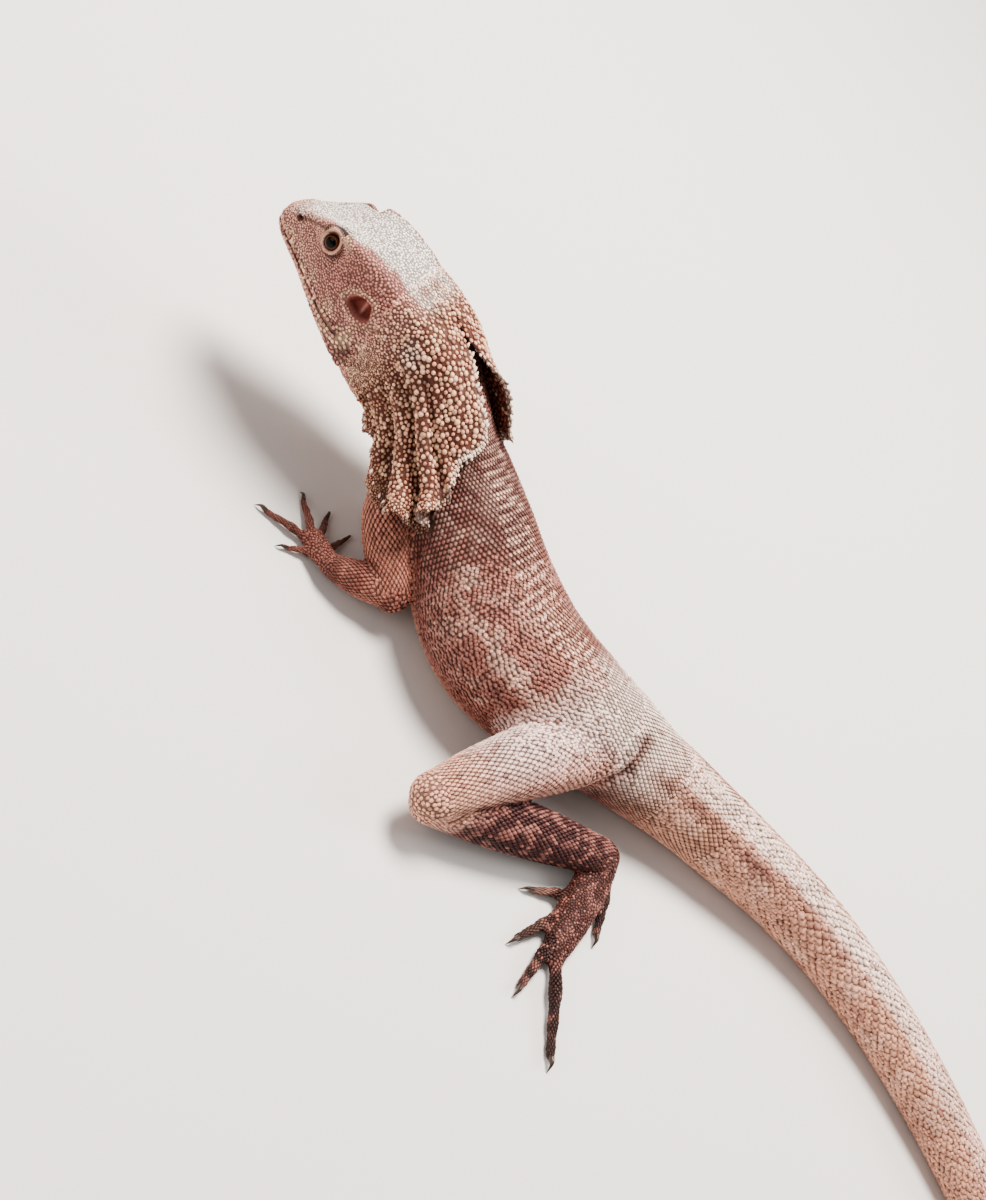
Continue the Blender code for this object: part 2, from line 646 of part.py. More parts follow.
def make_frill(side_name, sign, tree):
    """One half of the folded frill, from its root behind the jaw and ear back over the shoulder."""
    axis = frill_axis()
    root = np.array(head_ring(HEAD_LENGTH))
    root_centre = in_head(HEAD_LENGTH, 0, -3)
    back, left, up = head_axes()
    columns, rows = FRILL_COLUMNS, FRILL_ROWS
    top_angle, pleats_start = FRILL_TOP_ANGLE[side_name], PLEATS_START[side_name]
    reach = np.zeros((rows + 1, columns + 1))
    under = np.zeros_like(reach)
    starts, ways = {}, {}
    for c in range(columns + 1):
        u = c / columns
        angle = top_angle + (math.pi - top_angle) * u
        length = read_at(FRILL_LENGTHS[side_name], u)[0]
        for r in range(rows + 1):
            v = r / rows
            along = length * v
            start = read_at(axis, along)
            direction = unit(read_at(axis, along + 1) - read_at(axis, along - 1 if along > 1 else 0))
            turn = min(1, along / 12)
            direction = unit(back * (1 - turn) + direction * turn)
            side = unit(left * sign - direction * np.dot(left, direction) * sign)
            top = np.cross(direction, side) * sign
            top = top if top[2] > 0 else -top
            way = side * math.sin(angle) + top * math.cos(angle)
            starts[r, c], ways[r, c] = start, way
            if r:
                shifts = (-direction, direction * 0, direction)
                under[r, c] = max(farthest_hit(tree, start + s, way, FRILL_REACH) for s in shifts)
    spokes = root - root_centre
    spoke_angles = np.arctan2(sign * spokes @ left, spokes @ up) % math.tau
    order = np.argsort(spoke_angles)
    for c in range(columns + 1):
        u = c / columns
        angle = top_angle + (math.pi - top_angle) * u
        ring_radius = np.interp(angle, spoke_angles[order], np.linalg.norm(spokes, axis=1)[order])
        hang = read_at(THROAT_HANG, u)[0]
        for r in range(rows + 1):
            v = r / rows
            rise = hang * math.sin(min(1, v / 0.4) * math.pi / 2)
            flare = FLARE[side_name] * max(0, 1 - u / 0.22) ** 1.5
            flare *= math.sin(math.pi * min(1, 0.15 + v * 0.75))
            wanted = ring_radius * FRILL_ROOT * (1 - v) + under[r, c] * v
            lowest = under[r, c] + FRILL_CLEARANCE if r else 0
            reach[r, c] = max(wanted, lowest) + rise + flare * min(1, v * 4)
    for _ in range(3):
        calm = reach.copy()
        calm[1:-1, 1:-1] = (reach[:-2, 1:-1] + reach[2:, 1:-1] + reach[1:-1, :-2] + reach[1:-1, 2:]) / 4
        floor = under + FRILL_CLEARANCE
        floor[0] = 0
        reach[1:] = np.maximum(calm, floor)[1:]
    work = bmesh.new()
    grid = []
    for r in range(rows + 1):
        line = []
        for c in range(columns + 1):
            u, v = c / columns, r / rows
            depth = max(0, read_at(PLEAT_DEPTHS[side_name], u)[0]) * v
            wave = 0.5 + 0.5 * math.cos(math.tau * PLEATS * (1 - u) / (1 - pleats_start))
            place = starts[r, c] + ways[r, c] * (reach[r, c] + 2 * depth * wave)
            if r == 0:
                place = place + back * (GAP + 0.1)
            if r == rows and c % 2:
                direction = unit(starts[r, c] - starts[r - 1, c])
                place = place + direction * FRILL_TOOTH
            if c == 0 and r % 2 and r > 1:
                place = place + (place - (starts[r, 1] + ways[r, 1] * reach[r, 1])) * 0.6
            across = np.dot(place - starts[r, c], left) * sign
            if c == columns or across < FRILL_MIDDLE_GAP:
                place = place + left * sign * (FRILL_MIDDLE_GAP - across)
            place[2] = max(place[2], 1.5)
            line.append(work.verts.new(Vector(place) * MM))
        grid.append(line)
    for r in range(rows):
        for c in range(columns):
            a, b = grid[r][c], grid[r][c + 1]
            d, e = grid[r + 1][c], grid[r + 1][c + 1]
            corners = ((a, b, e), (a, e, d)) if (r + c) % 2 else ((a, b, d), (b, e, d))
            for three in corners:
                work.faces.new(three if sign > 0 else three[::-1])
    frill = object_from(work, f"frill_{side_name}")
    shell = frill.modifiers.new("membrane", "SOLIDIFY")
    shell.thickness = FRILL_THICK * MM
    shell.offset = 0
    finish(frill, "frill membrane", FRILL_TAN)


def main():
    make_head()
    make_neck()
    make_trunk()
    for side_name in ("left", "right"):
        make_arm(side_name, grown_torso())
        make_leg(side_name, grown_torso(), [grown_tail()])
    bpy.context.view_layer.update()
    tree = surfaces_under_frill()
    for side_name, sign in (("left", 1), ("right", -1)):
        make_frill(side_name, sign, tree)


clear_scene()
lizard = bpy.data.collections.new("frilled_lizard")
bpy.context.scene.collection.children.link(lizard)
main()
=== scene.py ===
# %% [markdown]
# # A frilled lizard, life size
# The lizard is made in four layers. A smooth body of flesh is lofted from measured sections and melted into
# one skin. The frill is a thin pleated sheet that grows out of that skin behind the jaw. Thousands of small
# solid scales are then set over both, each row following the lie of the real ones. Eyes and claws are their
# own pieces. Lengths are in millimetres here and MM turns them into metres at the end.

# %% Load the fixed frame
import math

import bmesh
import bpy
import numpy as np
from mathutils import Matrix, Vector
from mathutils.bvhtree import BVHTree
from mathutils.kdtree import KDTree


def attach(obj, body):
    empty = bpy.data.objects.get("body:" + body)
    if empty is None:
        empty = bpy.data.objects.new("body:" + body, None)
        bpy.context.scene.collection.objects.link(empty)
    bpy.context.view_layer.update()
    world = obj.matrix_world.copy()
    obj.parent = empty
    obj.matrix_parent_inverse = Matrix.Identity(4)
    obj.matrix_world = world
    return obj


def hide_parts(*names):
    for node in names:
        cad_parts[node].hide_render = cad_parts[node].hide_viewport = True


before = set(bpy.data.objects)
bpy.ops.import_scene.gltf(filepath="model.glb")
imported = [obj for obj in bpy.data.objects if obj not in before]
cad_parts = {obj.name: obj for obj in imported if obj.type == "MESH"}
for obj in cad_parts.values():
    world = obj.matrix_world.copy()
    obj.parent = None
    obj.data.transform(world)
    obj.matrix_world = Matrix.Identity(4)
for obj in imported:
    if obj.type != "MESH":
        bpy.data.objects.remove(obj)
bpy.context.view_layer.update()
MM = 0.001
UP = np.array([0.0, 0.0, 1.0])
dice = np.random.default_rng(11)
print("nodes in the frame:", len(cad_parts))

# %% [markdown]
# ## Measures
# The same stations as the solids have. Each row of a table is a place along the body and what is measured
# there. A smooth curve through the rows gives every size in between, so a whole body needs only a few rows.

# %% Trunk and tail: y, centre x and z, half width, height above and depth below the centre
TRUNK = (
    (-64, -8.8, 51, 15.5, 15, 15.5), (-55, -9.4, 44, 17, 16.5, 18),
    (-41, -9.8, 36.5, 20.5, 18.5, 20.5), (-26, -5.8, 30.5, 22.8, 22.6, 23),
    (-11, -0.3, 26.5, 24.8, 24.2, 26), (15, 6.9, 24, 28, 24, 25.6),
    (32, 4.2, 23.5, 26.5, 22.3, 24.4), (46, -1.4, 22.3, 24, 21, 22.9),
    (65, -9.6, 20.5, 21, 18.8, 20.7), (81, -16.6, 18.6, 18, 16.8, 18.7),
    (91, -21.6, 17.2, 16.9, 16.2, 17.3), (123, -33.6, 14.9, 14.9, 14.7, 15),
    (162, -44.6, 13, 13.2, 13, 13.1), (205, -46.6, 11.5, 11.8, 11.6, 11.7),
    (252, -39.1, 10.3, 10.6, 10.4, 10.5), (300, -24, 8.7, 9, 8.8, 8.9),
    (360, -3, 6.9, 7.2, 7, 7.1), (420, 12, 5.1, 5.3, 5.2, 5.3),
    (480, 20, 3.2, 3.4, 3.3, 3.4), (530, 22, 1.3, 1.4, 1.3, 1.4),
)
TORSO_START, TAIL_END = -55, 530

# %% Head: outline curves from the snout back, as distance, half width and height
SNOUT = np.array([0.0, -145.7, 56.2])
HEAD_YAW, HEAD_PITCH = math.radians(7), math.radians(6)
HEAD_LENGTH = 58
CROWN = ((0, 2.6), (3, 6.4), (8, 9.6), (14, 12.4), (21, 15.6), (33, 19.2), (45, 19.8), (58, 16))
BROW = (
    (0, 1.9, 2), (3, 4, 5.6), (8, 5.6, 8.8), (14, 8.2, 12.8),
    (21, 12, 17.8), (28, 14, 19.2), (42, 14.6, 18.4), (58, 13.6, 14.2),
)
TEMPLE = (
    (0, 2.6, 0.8), (3, 5, 3), (8, 6.6, 4.6), (14, 8.6, 7),
    (21, 11, 10.4), (30, 14.6, 10.8), (42, 17.6, 11), (58, 17.4, 7),
)
CHEEK = (
    (0, 3, -0.2), (3, 5.8, 0.4), (8, 8.2, 0.2), (14, 10.6, 0),
    (24, 15, 0), (36, 18.9, 0.4), (46, 20.2, 0.6), (58, 19.6, -2),
)
LIP = (
    (0, 2.9, -2.4), (3, 5.8, -2.6), (8, 8.3, -3.2), (14, 10.7, -4.6),
    (24, 15, -6.2), (36, 19, -7.8), (46, 20.4, -8.8), (58, 20, -11.4),
)
JAW = (
    (0, 2.3, -4.4), (3, 4.8, -5.6), (8, 7, -6.8), (14, 8.8, -8.2),
    (24, 12.6, -11), (36, 16.8, -15.2), (46, 18.6, -18.8), (58, 18.4, -22),
)
CHIN = ((0, -5.2), (3, -6.6), (8, -8), (14, -9.4), (24, -12.4), (36, -16.8), (46, -21.2), (58, -25.2))
MOUTH = ((-4, -2), (0, -2.3), (7, -3.1), (18, -4.9), (34, -8), (43.5, -8.8))
EYE_AT, EYE_RADIUS = (21.8, 9.4, 11.2), 4.4
EAR_AT, EAR_HALF = (43.0, 19, 5.2), (5.2, 3.9)
NOSTRIL_AT = (7.2, 6.8, 5.2)
NECK_DRAW_IN = 0.82

# %% Frill: lengths, pleats and hang by share of the way from the nape to the throat
FRILL_TOP_ANGLE = {"left": math.radians(12), "right": math.radians(26)}
FRILL_LENGTHS = {
    "left": (
        (0, 36), (0.06, 40), (0.14, 42), (0.22, 43), (0.31, 55), (0.37, 63), (0.43, 67),
        (0.5, 64), (0.55, 53), (0.61, 41), (0.69, 33), (0.82, 29), (1, 27),
    ),
    "right": ((0, 45), (0.3, 46), (0.45, 44), (0.55, 38), (0.63, 34), (0.72, 31), (0.85, 29), (1, 27)),
}
FRILL_CLEARANCE = 1.6
FRILL_REACH = 46
PLEATS, PLEATS_START = 6, {"left": 0.27, "right": 0.2}
PLEAT_DEPTHS = {
    "left": ((0, 0), (0.27, 0.2), (0.34, 3), (0.46, 4.2), (0.56, 3), (0.63, 1.9), (1, 1.5)),
    "right": ((0, 0), (0.3, 0.4), (0.45, 2.2), (0.6, 2.2), (1, 1.5)),
}
THROAT_HANG = ((0, 0), (0.4, 0), (0.62, 1), (0.8, 2.4), (1, 3))
FLARE = {"left": 1.0, "right": 5.5}

# %% Limbs: joints with their radii, then the toes as root, tip and radius
ARMS = {
    "left": {
        "upper_arm": (((6, -53.5, 30), 8), ((16.5, -42.8, 21.5), 8.6), ((26, -22.5, 12.5), 6.9)),
        "forearm": (((26, -22.8, 12), 5.8), ((31, -31.5, 10.2), 6.3), ((35.6, -41.5, 7), 4.5)),
        "palm": (((35.4, -41, 6.6), 3.9), ((34, -47, 5), 4.8), ((31.5, -53, 3.6), 4.5)),
        "digits": (
            ((30.5, -47.5), (13, -47.5), 1.5), ((29.5, -52), (14.5, -59), 1.6),
            ((30.5, -54.5), (20, -70), 1.7), ((33.5, -54.5), (41, -74), 1.7),
            ((36.5, -50.5), (45, -58.5), 1.5),
        ),
    },
    "right": {
        "upper_arm": (((-23, -52, 30), 7.6), ((-34, -42, 21.5), 8), ((-45, -23.5, 12.5), 6.8)),
        "forearm": (((-45, -23.8, 12), 5.8), ((-50.5, -33.5, 10.2), 6.3), ((-54, -44, 7), 4.5)),
        "palm": (((-54, -43.5, 6.6), 3.9), ((-54, -50, 5), 4.8), ((-53, -56.5, 3.6), 4.5)),
        "digits": (
            ((-50.5, -51), (-35, -54), 1.5), ((-50.5, -56), (-39, -67), 1.6),
            ((-52.5, -58.5), (-47, -77), 1.7), ((-55.5, -58), (-62, -77), 1.7),
            ((-57.5, -53.5), (-69, -62), 1.5),
        ),
    },
}
LEGS = {
    "left": {
        "thigh": (((-4, 62, 18), 9.5), ((13, 57, 21.5), 12.4), ((38, 48.5, 23.5), 12), ((70, 39, 16.8), 8.6)),
        "shin": (((70, 40, 13), 7.2), ((55, 54, 12.2), 9.2), ((39.5, 70, 11.4), 9.2), ((17.5, 93, 8.8), 6.6)),
        "sole": (((16, 95, 6.6), 6), ((27, 98, 5), 7), ((43, 101.5, 3.9), 7), ((57, 105, 3), 5)),
        "digits": (
            ((36, 95), (50, 82), 1.9), ((47, 97), (69.5, 92), 2.1), ((53, 101), (81, 105.5), 2.2),
            ((57, 106), (88, 130.5), 2.3), ((17, 101.5), (39.5, 114), 2.1),
        ),
    },
    "right": {
        "thigh": (((-11, 62, 19), 10), ((-17.5, 48, 17), 12), ((-25, 28, 13.8), 11), ((-33.5, 6, 10), 8)),
        "shin": (((-33.5, 6, 8.6), 6.8), ((-37, 24, 8.6), 7.8), ((-38, 44, 8.6), 7.6), ((-41.5, 73, 7.8), 6)),
        "sole": (((-41.5, 74, 6.2), 5.7), ((-44, 84, 4.9), 6.6), ((-49, 99, 3.8), 6.6), ((-52, 110, 3), 4.8)),
        "digits": (
            ((-46, 92), (-44, 110), 1.9), ((-48, 103), (-49.5, 126), 2.1),
            ((-51, 109), (-57, 139), 2.2), ((-53.5, 110), (-66, 147), 2.3),
            ((-49, 84), (-62, 101), 2.0),
        ),
    },
}
SOLE_FLATNESS = 0.72
KNUCKLE_RISE = 2.2
CLAW_LENGTH = {"arm": 3.2, "leg": 3.8}
LIMB_PARTS = {"arm": ("upper_arm", "forearm", "palm", "fingers"), "leg": ("thigh", "shin", "sole", "toes")}

# %% Toes: share of the way, half width and height over the radius, and lift of the knuckle
TOE_SHAPE = (
    (0, 1.12, 1.1, 0), (0.2, 0.98, 1, 0.5), (0.38, 1.1, 1, 0.55), (0.52, 0.86, 1, 0.4),
    (0.66, 0.94, 1, 0.2), (0.8, 0.76, 0.95, 0), (0.9, 0.82, 0.85, 0), (1, 0.62, 0.84, 0),
)

# %% Helpers that read a table and weigh distances
def curve_weights(t, width):
    """How much the two ends of a smooth curve and their slopes count at a share of the way."""
    near, far = (1 + 2 * t) * (1 - t) ** 2, t * t * (3 - 2 * t)
    return near, far, t * (1 - t) ** 2 * width, t * t * (t - 1) * width


def read_at(rows, position):
    """Values of rows (position, value, ...) on a smooth curve, for one position or an array of them."""
    rows = np.array(rows, float)
    x, y = rows[:, 0], rows[:, 1:]
    slope = np.gradient(y, x, axis=0)
    position = np.asarray(position, float)
    i = np.clip(np.searchsorted(x, position) - 1, 0, len(x) - 2)
    width = (x[i + 1] - x[i])[..., None]
    near, far, leave, arrive = curve_weights((position - x[i])[..., None] / width, width)
    return near * y[i] + far * y[i + 1] + leave * slope[i] + arrive * slope[i + 1]


def ease(value, low, high):
    """0 below low, 1 above high, smooth in between."""
    t = np.clip((value - low) / (high - low), 0, 1)
    return t * t * (3 - 2 * t)


def fade(value, low, high):
    """1 below low, 0 above high, smooth in between."""
    return 1 - ease(value, low, high)


def hump(away, width, also=0.0, also_width=1.0):
    """1 at no distance and nearly 0 at two widths, in one direction or in two."""
    return np.exp(-((away / width) ** 2 + (also / also_width) ** 2))


# %% Helpers that turn directions and find places on the head
def unit(vectors):
    return vectors / np.maximum(np.linalg.norm(vectors, axis=-1, keepdims=True), 1e-12)


def side_and_up(along):
    side = unit(np.cross(along, UP))
    return side, np.cross(side, along)


def run_along(line):
    """Distance from the start of a line to each of its points."""
    return np.concatenate([[0], np.cumsum(np.linalg.norm(np.diff(line, axis=0), axis=1))])


def round_ring(centre, side, up, wide, high, sides):
    """Points round a centre, from the top on."""
    turn = math.tau * np.arange(sides)[:, None] / sides
    return centre + side * wide * np.sin(turn) + up * high * np.cos(turn)


def head_axes():
    flat = math.cos(HEAD_PITCH)
    back = np.array([-math.sin(HEAD_YAW) * flat, math.cos(HEAD_YAW) * flat, math.sin(HEAD_PITCH)])
    left = np.array([math.cos(HEAD_YAW), math.sin(HEAD_YAW), 0.0])
    return back, left, np.cross(left, back)


BACK, LEFT, HEAD_UP = head_axes()


def in_head(behind, across, height):
    return SNOUT + BACK * behind + LEFT * across + HEAD_UP * height


def head_place(points):
    """Distance behind the snout, across to the left and height above it, for places in the model."""
    away = points - SNOUT
    return away @ BACK, away @ LEFT, away @ HEAD_UP


def eye_axes(sign):
    """Middle of an eyeball, its gaze, and the ways forward and up over its lids."""
    gaze = unit(LEFT * sign * 0.93 + HEAD_UP * 0.24 - BACK * 0.04)
    forward = unit(-BACK - gaze * np.dot(-BACK, gaze))
    centre = in_head(EYE_AT[0], sign * EYE_AT[1], EYE_AT[2])
    return centre, gaze, forward, np.cross(gaze, forward) * sign


EYES = {sign: eye_axes(sign) for sign in (1, -1)}
print("eyes, in mm:", [centre.round(1).tolist() for centre, *_ in EYES.values()])

# %% [markdown]
# ## The body of flesh
# Each part is a closed loft through rings. They overlap freely, because a voxel remesh then melts them into
# one closed surface, and a smoothing turns the creases where they meet into soft fillets, as skin does over
# flesh.

# %% Lofts are gathered in one list
flesh_points, flesh_faces = [], []


def add_loft(rings, start_tip=None, tip=None):
    """Adds a closed tube through rings of equal counts, with a flat or a pointed end."""
    first = sum(len(block) for block in flesh_points)
    rings = np.array(rings)
    rows, count = rings.shape[:2]
    flesh_points.append(rings.reshape(-1, 3))
    k = np.arange(count)
    for r in range(rows - 1):
        a = first + r * count + k
        b = first + r * count + (k + 1) % count
        flesh_faces.extend(np.stack([a, b, b + count, a + count], 1).tolist())
    for r, apex in ((0, start_tip), (rows - 1, tip)):
        a = first + r * count + k
        centre = rings[r].mean(0) if apex is None else np.array(apex)
        flesh_points.append(centre[None])
        fan = np.stack([a, np.roll(a, -1), np.full(count, first + rows * count + (r > 0))], 1)
        flesh_faces.extend((fan[:, ::-1] if r == 0 else fan).tolist())


def on_floor(points, lowest=0.15):
    points = np.array(points)
    points[..., 2] = np.maximum(points[..., 2], lowest)
    return points


def subdivided(outline):
    """A closed outline with three points added between each two, on the curve through its neighbours."""
    for _ in range(2):
        before, after, beyond = np.roll(outline, 1, 0), np.roll(outline, -1, 0), np.roll(outline, -2, 0)
        middle = (9 * (outline + after) - before - beyond) / 16
        outline = np.stack([outline, middle], 1).reshape(-1, outline.shape[1])
    return outline


# %% Rings of the head, the trunk and the tail
def head_ring(behind):
    crown, chin = (np.array([0, *read_at(line, behind)]) for line in (CROWN, CHIN))
    brow, *lower = (read_at(line, behind) for line in (BROW, TEMPLE, CHEEK, LIP, JAW))
    half = [crown, (crown + brow) / 2, brow, *lower, chin]
    mirrored = [point * (-1, 1) for point in half[-2:0:-1]]
    outline = subdivided(np.array(half + mirrored))
    return in_head(behind, 0, 0) + outline[:, :1] * LEFT + outline[:, 1:] * HEAD_UP


def trunk_axis(y):
    """Centre, way along and half sizes of the trunk or tail at a place."""
    x, z, *sizes = read_at(TRUNK, y)
    step = read_at(TRUNK, y + 1) - read_at(TRUNK, y - 1)
    return np.array([x, y, z]), unit(np.array([step[0], 2.0, step[1]])), sizes


def trunk_ring(y, sides=72):
    centre, along, (half_width, above, below) = trunk_axis(y)
    side, up = side_and_up(along)
    turn = math.tau * np.arange(sides)[:, None] / sides
    height = np.where(np.cos(turn) > 0, above, below)
    return on_floor(centre + side * half_width * np.sin(turn) + up * height * np.cos(turn))


head_stations = np.concatenate([[0, 0.5, 1.2, 2.2, 3.4], np.arange(5, HEAD_LENGTH + 0.1, 1.325)])
add_loft([head_ring(s) for s in head_stations], start_tip=in_head(-0.5, 0, -1.2))
add_loft([trunk_ring(y) for y in np.arange(TORSO_START - 6, TAIL_END + 0.1, 2)], tip=(22.3, 532, 0.6))
print("rings of the head:", len(head_stations))

# %% Neck: from the back of the head, drawn in under the frill, to the shoulders
NECK_CENTRE = in_head(HEAD_LENGTH, 0, -3)
NECK_STEPS, NECK_END = 14, TORSO_START + 3.0


def neck_rings():
    last = head_ring(HEAD_LENGTH)
    spokes = last - NECK_CENTRE
    upward = np.clip(unit(spokes) @ HEAD_UP, 0, 1)[:, None]
    first = spokes * (NECK_DRAW_IN + 0.14 * upward**4)
    centre, along, _ = trunk_axis(NECK_END)
    end = trunk_ring(NECK_END, len(last)) - centre
    end = end[::-1] if np.dot(end[5], spokes[5]) < 0 else end
    span = np.linalg.norm(centre - NECK_CENTRE)
    rings, centres = [], []
    for t in np.linspace(0, 1, NECK_STEPS):
        near, far, leave, arrive = curve_weights(t, span)
        middle = near * NECK_CENTRE + far * centre + leave * BACK + arrive * along
        rings.append(middle + first * (1 - far) + end * far)
        centres.append(middle)
    return rings, centres


neck, neck_centres = neck_rings()
add_loft(neck)

# %% Limbs are tubes with rounded ends
ROUNDING = np.radians([0, 20, 40, 60, 78])


def limb_path(places, steps):
    rows = np.array([(i, *point, radius) for i, (point, radius) in enumerate(places)], float)
    values = read_at(rows, np.linspace(0, len(rows) - 1, steps + 1))
    return values[:, :3], values[:, 3]


def add_limb(places, flatness, sides=40, steps=24):
    points, radii = limb_path(places, steps)
    alongs = unit(np.gradient(points, axis=0))
    rings = []
    for i, (point, radius, along) in enumerate(zip(points, radii, alongs)):
        side, up = side_and_up(along)
        angles = -ROUNDING[::-1] if i == 0 else ROUNDING if i == steps else (0.0,)
        for angle in angles:
            size = radius * math.cos(angle)
            centre = point + along * radius * math.sin(angle)
            rings.append(on_floor(round_ring(centre, side, up, size, size * flatness, sides)))
    add_loft(rings)


# %% Toes swell at each knuckle and lie on the floor
def toe_line(base, tip, radius, claw):
    """Start, way and length of a toe, the share of it ahead of the claw, and its sizes up to there."""
    base, tip = np.array([*base, 0.0]), np.array([*tip, 0.0])
    length = np.linalg.norm(tip - base)
    toe = 1 - claw / length
    share, wide, high, lift = np.transpose(TOE_SHAPE)
    rows = np.stack([share * toe, radius * wide, radius * high + KNUCKLE_RISE * lift], 1)
    return base, (tip - base) / length, length, toe, rows


def add_toe(base, tip, radius, claw, sides=20):
    base, way, length, toe, rows = toe_line(base, tip, radius, claw)
    side = np.cross(way, UP)
    rings = []
    for share in np.linspace(-0.06, toe, 34):
        size, height = read_at(rows, max(share, 0))
        centre = base + way * length * share + UP * height
        rings.append(on_floor(round_ring(centre, side, UP, size, size, sides)))
    add_loft(rings, tip=base + way * (length * toe + radius * 0.4) + UP * radius * 0.8)


LIMBS, TOES = [], []
for limbs, kind in ((ARMS, "arm"), (LEGS, "leg")):
    for side_name, limb in limbs.items():
        for segment in LIMB_PARTS[kind][:3]:
            add_limb(limb[segment], SOLE_FLATNESS if segment in ("palm", "sole") else 1.0)
            LIMBS.append((side_name, segment, limb[segment]))
        for digit in limb["digits"]:
            TOES.append((*digit, CLAW_LENGTH[kind]))
            add_toe(*TOES[-1])
print("limb parts:", len(LIMBS), "toes:", len(TOES))

# %% Rounded mounds of muscle and bone that the tubes lack, and the bulge of the eyes
MOUNDS = (
    ((-2, 60, 25.5), (15, 16, 11)),
    ((6, -47, 31), (11, 13, 10)),
    ((-22, -46, 31), (11, 13, 10)),
    ((66, 41, 14.5), (8.6, 8.4, 7.8)),
    ((17, 92.5, 7.6), (6.6, 6.4, 6.2)),
    *((centre, (5.0, 5.0, 5.0)) for centre, *_ in EYES.values()),
)


def add_ball(centre, radii, rings=16, sides=28):
    x_way, y_way = np.eye(3)[:2]
    stack = []
    for angle in np.linspace(-math.pi / 2 + 0.12, math.pi / 2 - 0.12, rings):
        deep, wide = radii[0] * math.cos(angle), radii[1] * math.cos(angle)
        middle = centre + UP * radii[2] * math.sin(angle)
        stack.append(round_ring(middle, y_way, x_way, wide, deep, sides))
    add_loft(on_floor(stack))


for centre, radii in MOUNDS:
    add_ball(centre, radii)
print("flesh lofts:", sum(len(block) for block in flesh_points), "points")

# %% Helpers that make and read meshes
def shown(name, data):
    made = bpy.data.objects.new(name, data)
    bpy.context.scene.collection.objects.link(made)
    return made


def mesh_object(name, points, faces):
    mesh = bpy.data.meshes.new(name)
    mesh.from_pydata(np.asarray(points).tolist(), [], faces)
    return shown(name, mesh)


def numbers_of(items, name, width, kind=np.float32):
    flat = np.empty(len(items) * width, kind)
    items.foreach_get(name, flat)
    return flat.reshape(-1, width)


def points_of(mesh):
    return numbers_of(mesh.vertices, "co", 3).astype(float)


def normals_of(mesh):
    return numbers_of(mesh.vertex_normals, "vector", 3).astype(float)


def edges_of(mesh):
    return numbers_of(mesh.edges, "vertices", 2, np.int32)


def faces_of(mesh):
    return [list(polygon.vertices) for polygon in mesh.polygons]


# %% Helpers that change meshes
def set_points(mesh, points):
    mesh.vertices.foreach_set("co", np.asarray(points, np.float32).ravel())
    mesh.update()


def apply_modifiers(target):
    """Works the object's modifiers into its mesh."""
    bpy.context.view_layer.update()
    evaluated = target.evaluated_get(bpy.context.evaluated_depsgraph_get())
    mesh = bpy.data.meshes.new_from_object(evaluated)
    target.modifiers.clear()
    target.data = mesh


def face_out(mesh, triangulate=False):
    """Turns all faces of closed shells outwards."""
    work = bmesh.new()
    work.from_mesh(mesh)
    if triangulate:
        bmesh.ops.triangulate(work, faces=[face for face in work.faces if len(face.verts) > 3])
    work.normal_update()
    bmesh.ops.recalc_face_normals(work, faces=work.faces[:])
    work.to_mesh(mesh)
    work.free()


def smoothed(points, edges, times, mask=1.0):
    """Moves each point half way to the middle of its neighbours, as far as the mask says."""
    count = len(points)
    ends, others = np.concatenate([edges, edges[:, ::-1]]).T
    number = np.maximum(np.bincount(ends, minlength=count), 1)
    pull = 0.5 * np.reshape(mask, (-1, 1))
    for _ in range(times):
        middle = [np.bincount(ends, points[others, i], count) / number for i in range(3)]
        points = points + (np.stack(middle, 1) - points) * pull
    return points


# %% Melt the lofts into one surface
VOXEL = 0.65
skin = mesh_object("skin", np.concatenate(flesh_points), flesh_faces)
face_out(skin.data)
melt = skin.modifiers.new("melt", "REMESH")
melt.mode = "VOXEL"
melt.voxel_size = VOXEL
melt.adaptivity = 0
apply_modifiers(skin)
print("melted skin:", len(skin.data.vertices), "points")

# %% Soften the joints between the parts, most where limbs leave the trunk
FILLETS = (
    ((10, -46, 24), 15), ((24, -26, 13), 9), ((35, -42, 7), 6), ((-26, -46, 24), 14), ((-45, -26, 13), 9),
    ((10, 60, 20), 22), ((8, 44, 14), 14), ((-22, 54, 16), 20), ((16, 94, 8), 8), ((-42, 74, 8), 7),
    ((64, 44, 13), 9), ((-35, 10, 9), 9),
)
SKIN_LOWEST = 0.1


def near_any(points, places, full, none):
    """1 within a place's radius times full, and 0 beyond its radius times none."""
    mask = np.zeros(len(points))
    for centre, radius in places:
        away = np.linalg.norm(points - centre, axis=1)
        mask = np.maximum(mask, fade(away, radius * full, radius * none))
    return mask


points, edges = points_of(skin.data), edges_of(skin.data)
points = smoothed(points, edges, 6)
behind, _, height = head_place(points)
nape = hump(behind - HEAD_LENGTH, 5) * (height > -2)
joint_mask = np.maximum(near_any(points, FILLETS, 0.5, 1), nape)
points = smoothed(points, edges, 40, joint_mask)
palms = [ball for _, segment, balls in LIMBS if segment in ("palm", "sole") for ball in balls]
points = smoothed(points, edges, 8, near_any(points, palms, 1, 2))
set_points(skin.data, on_floor(points, SKIN_LOWEST))
print("softened:", round(float(joint_mask.sum())), "points near joints")

# %% [markdown]
# ## The head's features
# Eyelids, ear, nostrils, the line of the mouth and the folds of loose skin are moves of the skin's own
# points, so they stay one surface with the rest. The head first gets a finer mesh. Each feature is a small
# function of how far a point lies from it, which makes them easy to shift or deepen.

